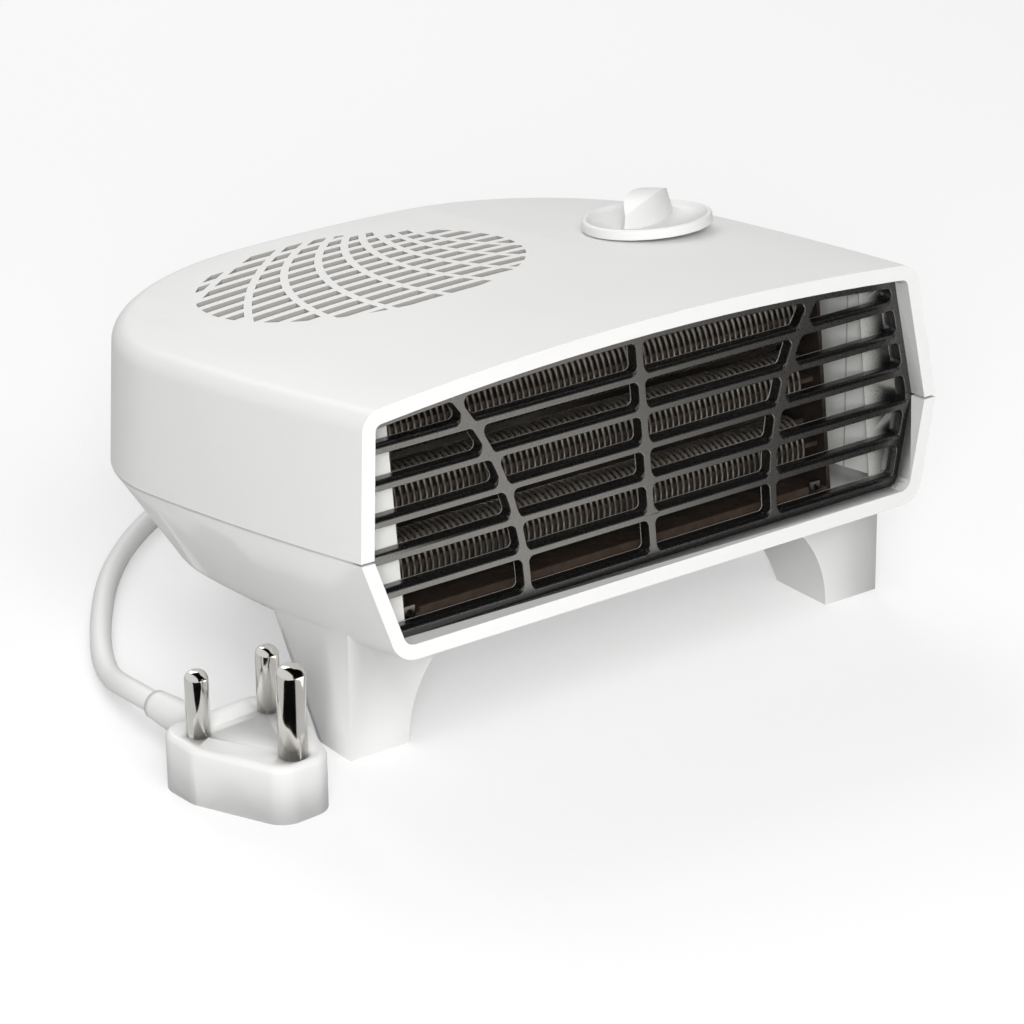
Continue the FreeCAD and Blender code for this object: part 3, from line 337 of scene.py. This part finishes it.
# the slot colour is painted shade for the intake's slot walls
shellLook = {**casingLook, "slotShadeColour": (0.47, 0.455, 0.43)}
knobLook = {**casingLook, "rough": 0.36}
plugLook = {**casingLook, "colour": (0.83, 0.83, 0.83), "rough": 0.34, "grainScale": 1500.0}
leadLook = {**casingLook, "colour": (0.82, 0.82, 0.81), "shade": (0.79, 0.79, 0.78), "rough": 0.45,
            "grainScale": 900.0, "driftScale": 20.0}
grilleLook = {"colour": (0.005, 0.005, 0.005), "shade": (0.004, 0.004, 0.004), "driftScale": 14.0, "rough": 0.30,
              "roughSpread": 0.05, "ior": 2.0, "grainScale": 1800.0, "grainStrength": 0.05, "grainDepth": 0.0001}
# the plate colour and its fade are painted light and shade on the grille's blank plate
outletLook = {**grilleLook, "plateDepth": (-0.0902, -0.0898), "plateShadeFade": (0.0985, 0.0895),
              "plateLitColour": (0.50, 0.50, 0.48)}
# the duct's dark brown is painted shade inside the duct; its joint line is a real joint
ductLook = {**casingLook, "colour": (0.93, 0.93, 0.90), "shade": (0.90, 0.90, 0.87), "rough": 0.5,
            "deepShade": (0.120, 0.098, 0.082), "mouth": (-0.0645, -0.0525), "beside": (0.079, 0.074),
            "deep": (-0.050, -0.042), "joint": -0.0691, "jointHalf": 0.0002, "jointSoft": 0.0003,
            "jointColour": (0.55, 0.55, 0.53)}
wheelLook = {**casingLook, "colour": (0.10, 0.10, 0.098), "shade": (0.08, 0.08, 0.078), "rough": 0.5}
switchLook = {**grilleLook, "colour": (0.06, 0.06, 0.065), "shade": (0.045, 0.045, 0.05), "rough": 0.5}
spindleLook = {**casingLook, "colour": (0.55, 0.54, 0.50), "shade": (0.48, 0.47, 0.44)}
bobbinLook = {**casingLook, "colour": (0.50, 0.48, 0.40), "shade": (0.42, 0.40, 0.34), "rough": 0.55}
blockLook = {**casingLook, "colour": (0.70, 0.69, 0.64), "shade": (0.62, 0.61, 0.56), "rough": 0.5}
tieLook = {**grilleLook, "colour": (0.03, 0.03, 0.03), "rough": 0.5}
pinLook = {"colour": (0.80, 0.78, 0.74), "shade": (0.74, 0.72, 0.68), "driftScale": 60.0, "rough": 0.12,
           "roughSpread": 0.03, "lineScale": 900.0, "stretch": (1.0, 1.0, 0.05), "lineStrength": 0.05,
           "lineDepth": 0.00005}
steelLook = {**pinLook, "colour": (0.56, 0.56, 0.57), "shade": (0.48, 0.48, 0.49), "rough": 0.32}
laminationLook = {**steelLook, "colour": (0.30, 0.30, 0.31), "shade": (0.22, 0.22, 0.23), "rough": 0.45,
                  "stretch": (0.02, 0.02, 1.0), "lineScale": 1600.0, "lineStrength": 0.5, "lineDepth": 0.0002}
bronzeLook = {**pinLook, "colour": (0.55, 0.38, 0.20), "shade": (0.46, 0.31, 0.16), "rough": 0.4}
copperLook = {**pinLook, "colour": (0.62, 0.28, 0.14), "shade": (0.50, 0.20, 0.10), "rough": 0.3,
              "stretch": (1.0, 0.03, 1.0), "lineScale": 2500.0, "lineStrength": 0.5, "lineDepth": 0.0001}
# the wire's crown colour is a painted highlight on the tops of the loops
wireLook = {**pinLook, "colour": (0.30, 0.284, 0.258), "shade": (0.22, 0.209, 0.19), "rough": 0.5,
            "roughSpread": 0.08, "lineStrength": 0.1, "crown": (0.88, 0.85, 0.79)}
terminalLook = {**pinLook, "colour": (0.30, 0.29, 0.27), "shade": (0.24, 0.23, 0.21), "rough": 0.42}
micaLook = {"colour": (0.062, 0.044, 0.034), "shade": (0.050, 0.035, 0.027), "flakeScale": 420.0, "rough": 0.45,
            "roughSpread": 0.08, "flakeStrength": 0.12, "flakeDepth": 0.0001}
# painted shade: a darker copy of the mica for the end boards, standing in for the shade they lie in
shadedMicaLook = {**micaLook, "colour": (0.026, 0.021, 0.018), "shade": (0.020, 0.016, 0.014)}

finishes = {
    "casing": mouldedPlastic("casingWhite", shellLook, slotShadePaint),
    "knob": mouldedPlastic("knobWhite", knobLook),
    "grille": mouldedPlastic("grilleBlack", outletLook, plateLightPaint),
    "duct": mouldedPlastic("ductPale", ductLook, ductShadeAndJoint),
    "mica": micaBoard("micaBrown", micaLook),
    "mica_ends": micaBoard("micaPaintedShade", shadedMicaLook),
    "resistance_wire": platedMetal("resistanceWire", wireLook),
    "terminals": platedMetal("tinnedTabs", terminalLook),
    "steel": platedMetal("zincSteel", steelLook),
    "laminations": platedMetal("motorLaminations", laminationLook),
    "bronze": platedMetal("sinteredBronze", bronzeLook),
    "copper": platedMetal("enamelledCopper", copperLook),
    "bobbin": mouldedPlastic("bobbinNylon", bobbinLook),
    "wheel": mouldedPlastic("blowerWheelPlastic", wheelLook),
    "switch": mouldedPlastic("switchBody", switchLook),
    "spindle": mouldedPlastic("spindleNylon", spindleLook),
    "terminal_block": mouldedPlastic("terminalBlock", blockLook),
    "lead": mouldedPlastic("leadWhite", leadLook),
    "tie": mouldedPlastic("tieBlack", tieLook),
    "plug": mouldedPlastic("plugWhite", plugLook),
    "pins": platedMetal("nickelPins", pinLook),
}
print("finishes made:", len(finishes))

nodeSlots = {
    "casing": ("upper_shell", "lower_shell"),
    "knob": ("control_knob",),
    "grille": ("front_grille",),
    "duct": ("blower_scroll",),
    "mica": ("mica_top_board", "mica_bottom_board", "mica_core_1", "mica_core_2", "mica_core_3"),
    "mica_ends": ("mica_end_board_left", "mica_end_board_right"),
    "terminals": ("element_terminals",),
    "steel": ("case_screws", "thermal_cutout", "bearing_bracket_upper", "bearing_bracket_lower", "motor_screws",
              "motor_shaft", "switch_plate", "switch_screws"),
    "laminations": ("stator_stack", "motor_rotor"),
    "bronze": ("motor_bushes",),
    "copper": ("motor_winding",),
    "bobbin": ("motor_bobbin",),
    "wheel": ("blower_wheel",),
    "switch": ("selector_switch",),
    "spindle": ("switch_spindle",),
    "terminal_block": ("terminal_block",),
    "lead": ("cord_gland", "inner_cord", "plug_sleeve"),
    "tie": ("coil_tie",),
    "plug": ("plug_body",),
    "pins": ("plug_line_pins", "plug_earth_pin"),
}


def setFinish(piece, slot):
    piece.data.materials.clear()
    piece.data.materials.append(finishes[slot])


for slot, nodes in nodeSlots.items():
    for name in nodes:
        setFinish(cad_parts[name], slot)
setFinish(mainsLead, "lead")
print("nodes finished")


# intake panel: an oval plate under the crown with straight rows of slots between swept ribs; each rib is an arc from
# a foot to a head on the oval's edge, given as angles, through a point given in the oval's half sizes
intake = {
    "centre": (-0.0225, 0.1219), "half": (0.0546, 0.0485), "border": 0.0006, "overlap": 0.00005,
    "rows": 13, "pitch": 0.0075, "slot": 0.0044, "rib": 0.0026, "leastWidth": 2e-4, "leastArea": 6e-6,
    "top": 0.049, "crown": 1.0, "wall": 0.0024, "reach": (0.042, 0.056), "stations": 97, "endSwing": 0.01,
    "rowSteps": 9, "wallWithin": 1.003, "wallSlope": 0.5,
    "feet": (157.0, 199.0, 230.0, 250.5, 271.6, 291.5, 307.0, 325.0, 344.0),
    "throughX": (-0.584, -0.777, -0.494, -0.2295, 0.0165, 0.235, 0.43, 0.62, 0.8185),
    "throughY": (0.699, 0.0, 0.0, 0.0, 0.0, 0.0, 0.0, 0.0, 0.0),
    "heads": (105.4, 88.0, 78.0, 70.0, 64.0, 59.0, 54.0, 49.0, 41.0),
}


def tubeFromRings(name, points):
    # points[i, j] is place j on ring i: quads join each ring to the next, and both ends are capped
    rings, sides = points.shape[:2]
    i, j = np.arange(rings - 1)[:, None] * sides, np.arange(sides)[None, :]
    nextJ = (j + 1) % sides
    quads = np.stack((i + j, i + sides + j, i + sides + nextJ, i + nextJ), axis=-1).reshape(-1, 4)
    caps = [list(range(sides)), list(range((rings - 1) * sides, rings * sides))[::-1]]
    mesh = bpy.data.meshes.new(name)
    mesh.from_pydata(points.reshape(-1, 3).tolist(), [], quads.tolist() + caps)
    return mesh


def facesOutward(mesh):
    work = bmesh.new()
    work.from_mesh(mesh)
    bmesh.ops.recalc_face_normals(work, faces=work.faces)
    work.to_mesh(mesh)
    work.free()
    return mesh


def crownHeight(x):
    return intake["top"] - intake["crown"] + np.sqrt(intake["crown"] ** 2 - x * x)


def ovalPrism(name, border, crowned):
    # stations across X, each a rectangle from the oval's front edge to its rear edge
    (middleX, middleY), (halfX, halfY) = intake["centre"], intake["half"]
    swing = np.linspace(np.pi - intake["endSwing"], intake["endSwing"], intake["stations"])
    x = middleX + (halfX + border) * np.cos(swing)
    y = (halfY + border) * np.sin(swing)
    high = crownHeight(x) if crowned else np.full_like(x, intake["reach"][1])
    low = high - intake["wall"] if crowned else np.full_like(x, intake["reach"][0])
    corners = ((middleY - y, low), (middleY + y, low), (middleY + y, high), (middleY - y, high))
    points = np.stack([np.stack((x, side, level), axis=-1) for side, level in corners], axis=1)
    return facesOutward(tubeFromRings(name, fromBody(points)))


def ribEdges(y):
    # where each rib's circle through its three points is at y, and half the rib's width along X there
    (middleX, middleY), (halfX, halfY) = intake["centre"], intake["half"]
    feet, heads = np.radians(intake["feet"]), np.radians(intake["heads"])
    ax, ay = halfX * np.cos(feet), halfY * np.sin(feet)
    bx, by = halfX * np.array(intake["throughX"]), halfY * np.array(intake["throughY"])
    cx, cy = halfX * np.cos(heads), halfY * np.sin(heads)
    a2, b2, c2 = ax * ax + ay * ay, bx * bx + by * by, cx * cx + cy * cy
    twice = 2.0 * (ax * (by - cy) + bx * (cy - ay) + cx * (ay - by))
    hubX = (a2 * (by - cy) + b2 * (cy - ay) + c2 * (ay - by)) / twice
    hubY = (a2 * (cx - bx) + b2 * (ax - cx) + c2 * (bx - ax)) / twice
    radius = np.hypot(ax - hubX, ay - hubY)
    drop = (y - middleY)[:, None] - hubY
    across = np.sqrt(np.maximum(radius ** 2 - drop ** 2, 1e-8))  # never nothing, so that the width stays finite
    place = middleX + hubX + np.sign(bx - hubX) * across
    return place, intake["rib"] / 2.0 * radius / across


def slotPrisms():
    # one prism for each place of a row between two ribs, or between a rib and the oval's edge
    (middleX, middleY), (halfX, halfY) = intake["centre"], intake["half"]
    low, high = intake["reach"]
    joined = bmesh.new()
    for row in range(intake["rows"]):
        rowY = middleY + intake["pitch"] * (row - (intake["rows"] - 1) / 2.0)
        y = np.linspace(rowY - intake["slot"] / 2.0, rowY + intake["slot"] / 2.0, intake["rowSteps"])
        edge = (halfX * np.sqrt(1.0 - ((y - middleY) / halfY) ** 2))[:, None]
        leftEdge, rightEdge = middleX - edge, middleX + edge
        place, half = ribEdges(y)
        lefts = np.clip(np.hstack((leftEdge, place + half)), leftEdge, rightEdge)
        rights = np.clip(np.hstack((place - half, rightEdge)), leftEdge, rightEdge)
        for left, right in zip(lefts.T, rights.T):
            kept = right - left > intake["leastWidth"]
            if kept.sum() < 2 or (right - left)[kept].mean() * np.ptp(y[kept]) < intake["leastArea"]:
                continue
            corners = ((left, low), (right, low), (right, high), (left, high))
            points = np.stack([np.stack((x, y, np.full_like(y, level)), axis=-1)[kept] for x, level in corners],
                              axis=1)
            slot = tubeFromRings("slot", fromBody(points))
            joined.from_mesh(slot)
            bpy.data.meshes.remove(slot)
    cutter = bpy.data.meshes.new("slots")
    joined.to_mesh(cutter)
    joined.free()
    return facesOutward(cutter)


def cutAway(mesh, cutter):
    whole, tool = bpy.data.objects.new("whole", mesh), bpy.data.objects.new("tool", cutter)
    scene.collection.objects.link(whole)
    scene.collection.objects.link(tool)
    difference = whole.modifiers.new("difference", "BOOLEAN")
    difference.object, difference.operation, difference.solver = tool, "DIFFERENCE", "EXACT"
    rest = bpy.data.meshes.new_from_object(whole.evaluated_get(bpy.context.evaluated_depsgraph_get()))
    for used in (whole, tool):
        bpy.data.objects.remove(used)
    for used in (mesh, cutter):
        bpy.data.meshes.remove(used)
    return rest


def markSlotWalls(mesh):
    # the upright faces inside the oval
    middles, normals = np.empty((2, len(mesh.polygons) * 3), np.float32)
    mesh.polygons.foreach_get("center", middles)
    mesh.polygons.foreach_get("normal", normals)
    x, y, z = toBody(middles.reshape(-1, 3)).T
    inside = np.hypot((x - intake["centre"][0]) / intake["half"][0],
                      (y - intake["centre"][1]) / intake["half"][1]) < intake["wallWithin"]
    upright = np.abs(normals.reshape(-1, 3) @ np.array(bodyUp)) < intake["wallSlope"]
    wall = inside & upright & (z > intake["reach"][0])
    mesh.attributes.new("slotWall", "FLOAT", "FACE").data.foreach_set("value", wall.astype(np.float32))
    print("intake panel:", len(mesh.polygons), "faces in all,", int(wall.sum()), "slot walls")


def sweptIntake(casing, name):
    # an oval hole in the casing's top, filled by the panel, which reaches a hair into the hole's wall
    holed = cutAway(casing, ovalPrism("hole", intake["border"], False))
    plate = cutAway(ovalPrism("plate", intake["border"] + intake["overlap"], True), slotPrisms())
    work = bmesh.new()
    work.from_mesh(holed)
    work.from_mesh(plate)
    work.to_mesh(holed)
    work.free()
    bpy.data.meshes.remove(plate)
    holed.name = name
    markSlotWalls(holed)
    return holed


# moulded pieces: a merged copy of the solid with its curved faces shaded smooth; the grille's front edges are rounded
softening = {"merge": 2e-6, "shortest": 1e-6, "sharp": 28.0}
grilleEdges = {"width": 0.0016, "segments": 3, "least": 0.2, "frontFrom": 0.98, "sideBelow": 0.5, "flat": 0.5}
mouldings = {
    "upperCasing": ("upper_shell", "housing", "casing"),
    "lowerCasing": ("lower_shell", "housing", "casing"),
    "outletGrille": ("front_grille", "housing", "grille"),
    "heatKnob": ("control_knob", "knob", "knob"),
    "plugBody": ("plug_body", "housing", "plug"),
    "plugSleeve": ("plug_sleeve", "housing", "lead"),
    "linePins": ("plug_line_pins", "housing", "pins"),
    "earthPin": ("plug_earth_pin", "housing", "pins"),
    "scrollDuct": ("blower_scroll", "housing", "duct"),
    "leadGland": ("cord_gland", "housing", "lead"),
    "leadTie": ("coil_tie", "housing", "tie"),
}


def weighEdges(work):
    # front edges only: full weight along the top of each bar, the least weight round the rest of each cell
    outward, upward = -Vector(bodyInward), Vector(bodyUp)
    layer = work.edges.layers.float.new("bevel_weight_edge")
    work.normal_update()
    for rim in work.edges:
        if len(rim.link_faces) != 2 or not rim.is_convex:
            continue
        front, side = sorted(rim.link_faces, key=lambda face: -face.normal.dot(outward))
        facing, turned = front.normal.dot(outward), abs(side.normal.dot(outward))
        if facing > grilleEdges["frontFrom"] and turned < grilleEdges["sideBelow"]:
            rise = max(0.0, side.normal.dot(upward))
            rim[layer] = grilleEdges["least"] + (1.0 - grilleEdges["least"]) * rise * rise


def roundEdges(piece):
    bevel = piece.modifiers.new("brokenEdges", "BEVEL")
    bevel.width = grilleEdges["width"]
    bevel.segments = grilleEdges["segments"]
    bevel.limit_method = "WEIGHT"
    bevel.harden_normals = True
    bevel.use_clamp_overlap = False


def softenedCopy(node, pieceName, body, slot):
    rounded = pieceName == "outletGrille"
    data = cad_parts[node].data.copy()
    data.name = pieceName
    work = bmesh.new()
    work.from_mesh(data)
    bmesh.ops.remove_doubles(work, verts=work.verts, dist=softening["merge"])
    bmesh.ops.dissolve_degenerate(work, edges=work.edges, dist=softening["shortest"])
    if rounded:
        bmesh.ops.dissolve_limit(work, angle_limit=math.radians(grilleEdges["flat"]), verts=work.verts,
                                 edges=work.edges)
        weighEdges(work)
    work.to_mesh(data)
    work.free()
    if pieceName == "upperCasing":
        data = sweptIntake(data, pieceName)
    data.shade_smooth()
    data.set_sharp_from_angle(angle=math.radians(softening["sharp"]))
    piece = bpy.data.objects.new(pieceName, data)
    scene.collection.objects.link(piece)
    if rounded:
        roundEdges(piece)
    setFinish(piece, slot)
    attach(piece, body)
    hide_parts(node)
    return piece


for pieceName, (node, body, slot) in mouldings.items():
    softenedCopy(node, pieceName, body, slot)


# resistance wire: a helix about each row's axis, its round section carried along it
windingRow = {"turns": 71, "wire": 0.0011, "sides": 6, "stepsPerTurn": 24, "shortBy": 0.005, "tall": 1.15,
              "crownGain": 1.6}


def coiledWire(name, node, row):
    # centre line: along X while it turns about the row's axis on an upright oval; section: a small circle in the
    # plane of the radius
    low, high = (np.array(corner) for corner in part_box(node))
    middle = (low + high) / 2.0
    half = (high - low) / 2.0
    wire = row["wire"] / 2.0
    swing = np.linspace(0.0, 2.0 * np.pi * row["turns"], row["turns"] * row["stepsPerTurn"] + 1)[:, None]
    along = np.linspace(-half[0] + row["wire"], half[0] - row["shortBy"], len(swing))[:, None]
    around = np.linspace(0.0, 2.0 * np.pi, row["sides"], endpoint=False)[None, :]
    reach = min(half[1], half[2]) - wire
    outward = reach + wire * np.cos(around)
    points = np.stack((middle[0] + along + wire * np.sin(around),
                       middle[1] + outward * np.cos(swing),
                       middle[2] + outward * row["tall"] * np.sin(swing)), axis=-1)
    mesh = tubeFromRings(name, points)
    mesh.shade_smooth()
    # painted highlight: the wire's colour is lifted towards the crown colour where it turns over the top, standing in
    # for light caught on the tops of the loops
    upper = np.clip(np.sin(swing) * row["crownGain"], 0.0, 1.0) ** 2  # brighter where the wire turns over the top
    mesh.attributes.new("upper", "FLOAT", "POINT").data.foreach_set(
        "value", np.broadcast_to(upper, points.shape[:2]).ravel().astype(np.float32))
    piece = bpy.data.objects.new(name, mesh)
    scene.collection.objects.link(piece)
    setFinish(piece, "resistance_wire")
    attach(piece, "housing")
    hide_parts(node)


for rowNumber in (1, 2, 3):
    coiledWire(f"windingRow{rowNumber}", f"heating_coil_{rowNumber}", windingRow)
print("windings made")


# stage: a pale floor that keeps the shadow, an even surround, and soft boxes above, in front and behind
stageSetup = {"floorSize": 8.0, "floorColour": (0.62, 0.62, 0.62), "cameraLift": 0.38, "ambient": 0.48,
              "lampAim": (0.0, 0.0, 0.06)}
softBoxes = (
    {"name": "keyLight", "place": (-0.4, -1.4, 1.6), "size": 1.2, "power": 17.4, "glossy": False},
    {"name": "frontLight", "place": (-1.1, -1.5, 0.75), "size": 0.6, "power": 18.6, "glossy": False},
    {"name": "rearLight", "place": (0.4, 1.5, 1.4), "size": 1.2, "power": 12.0, "glossy": True},
)


def flatCorners(xEnds, yEnds, z):
    (x0, x1), (y0, y1) = xEnds, yEnds
    return [(x0, y0, z), (x1, y0, z), (x1, y1, z), (x0, y1, z)]


def makeFloor(setup):
    half = setup["floorSize"] / 2.0
    mesh = bpy.data.meshes.new("studioFloor")
    mesh.from_pydata(flatCorners((-half, half), (-half, half), 0.0), [], [(0, 1, 2, 3)])
    floor = bpy.data.objects.new("studioFloor", mesh)
    scene.collection.objects.link(floor)
    material, tree, surface = emptyMaterial("paleFloor")
    paint = addNode(tree, "ShaderNodeBsdfDiffuse", {"Color": (*setup["floorColour"], 1.0)})
    ray = addNode(tree, "ShaderNodeLightPath")
    lift = addNode(tree, "ShaderNodeMath", {1: setup["cameraLift"]}, operation="MULTIPLY")
    glow = addNode(tree, "ShaderNodeEmission")
    total = addNode(tree, "ShaderNodeAddShader")
    link(tree, ray.outputs["Is Camera Ray"], lift.inputs[0])
    link(tree, lift.outputs[0], glow.inputs["Strength"])
    link(tree, paint.outputs[0], total.inputs[0])
    link(tree, glow.outputs[0], total.inputs[1])
    link(tree, total.outputs[0], surface)
    mesh.materials.append(material)


def makeWorld(setup):
    # full strength for what the camera, reflections and transmission see, less as a light
    world = bpy.data.worlds.new("studioWorld")
    scene.world = world
    world.use_nodes = True
    tree = world.node_tree
    tree.nodes.clear()
    output = addNode(tree, "ShaderNodeOutputWorld")
    ray = addNode(tree, "ShaderNodeLightPath")
    mirrored = combine(tree, "MAXIMUM", ray.outputs["Is Glossy Ray"], ray.outputs["Is Transmission Ray"])
    seen = combine(tree, "MAXIMUM", ray.outputs["Is Camera Ray"], mirrored)
    level = addNode(tree, "ShaderNodeMapRange", {"To Min": setup["ambient"], "To Max": 1.0})
    sky = addNode(tree, "ShaderNodeBackground")
    link(tree, seen, level.inputs["Value"])
    link(tree, level.outputs[0], sky.inputs["Strength"])
    link(tree, sky.outputs[0], output.inputs["Surface"])


def makeSoftBox(box):
    data = bpy.data.lights.new(box["name"], "AREA")
    data.size = box["size"]
    data.energy = box["power"]
    lamp = bpy.data.objects.new(box["name"], data)
    lamp.location = box["place"]
    lamp.visible_glossy = box["glossy"]
    lamp.rotation_mode = "QUATERNION"
    lamp.rotation_quaternion = (Vector(stageSetup["lampAim"]) - Vector(box["place"])).to_track_quat("-Z", "Y")
    scene.collection.objects.link(lamp)


# cards that only reflections see, as a photographer sets them: a black one on the floor before the bright pins, a
# glowing one on the floor before the grille, and black ones in front, at the right and above that keep the grille dark
darkFloor = {"from": (-0.1334, -0.0720), "heading": 213.6, "z": 0.0012, "near": (0.012, 0.0135),
             "far": (0.45, 0.32)}
glowCard = {"x": (-0.06, 1.6), "y": (-1.6, -0.11), "z": 0.001, "colour": (1.0, 0.96, 0.89), "level": 2.4,
            "along": (1.0, 0.654, 0.0), "fade": (0.02, -0.075)}
darkRoom = {"x": (-0.8, 3.5), "y": (-3.5, 1.6), "z": (0.01, 2.3), "colour": (0.004, 0.004, 0.004)}


def onlyReflected(name, corners, material):
    mesh = bpy.data.meshes.new(name)
    mesh.from_pydata(corners, [], [(0, 1, 2, 3)])
    mesh.materials.append(material)
    card = bpy.data.objects.new(name, mesh)
    scene.collection.objects.link(card)
    card.visible_camera = card.visible_diffuse = card.visible_shadow = False
    card.visible_transmission = card.visible_volume_scatter = False


def wedgeCorners(card):
    # a strip on the floor that widens along its heading; near and far are each a reach and a half width
    aim = math.radians(card["heading"])
    forward, across = Vector((math.sin(aim), math.cos(aim))), Vector((-math.cos(aim), math.sin(aim)))
    (nearReach, nearHalf), (farReach, farHalf) = card["near"], card["far"]
    near, far = (Vector(card["from"]) + forward * reach for reach in (nearReach, farReach))
    corners = (near - across * nearHalf, near + across * nearHalf, far + across * farHalf, far - across * farHalf)
    return [(*corner, card["z"]) for corner in corners]


def blackCard(colour):
    material, tree, surface = emptyMaterial("blackCard")
    paint = addNode(tree, "ShaderNodeBsdfDiffuse", {"Color": (*colour, 1.0)})
    link(tree, paint.outputs[0], surface)
    return material


def glowingCard(card):
    # a warm glow that fades out to black along the way that the grille's mirror line moves
    material, tree, surface = emptyMaterial("glowingCard")
    place = addNode(tree, "ShaderNodeTexCoord")
    fade = addNode(tree, "ShaderNodeMath", {1: card["level"]}, operation="MULTIPLY")
    glow = addNode(tree, "ShaderNodeEmission", {"Color": (*card["colour"], 1.0)})
    link(tree, fadeAlong(tree, place.outputs["Object"], card["along"], *card["fade"]), fade.inputs[0])
    link(tree, fade.outputs[0], glow.inputs["Strength"])
    link(tree, glow.outputs[0], surface)
    return material


def makeCards():
    black = blackCard(darkRoom["colour"])
    onlyReflected("darkFloor", wedgeCorners(darkFloor), black)
    onlyReflected("glowCard", flatCorners(glowCard["x"], glowCard["y"], glowCard["z"]), glowingCard(glowCard))
    (x0, x1), (y0, y1), (z0, z1) = darkRoom["x"], darkRoom["y"], darkRoom["z"]
    onlyReflected("darkFront", [(x0, y0, z0), (x1, y0, z0), (x1, y0, z1), (x0, y0, z1)], black)
    onlyReflected("darkRight", [(x1, y0, z0), (x1, y1, z0), (x1, y1, z1), (x1, y0, z1)], black)
    onlyReflected("darkAbove", flatCorners((x0, x1), (y0, y1), z1), black)


makeFloor(stageSetup)
makeWorld(stageSetup)
makeCards()
for box in softBoxes:
    makeSoftBox(box)
print("stage lit")
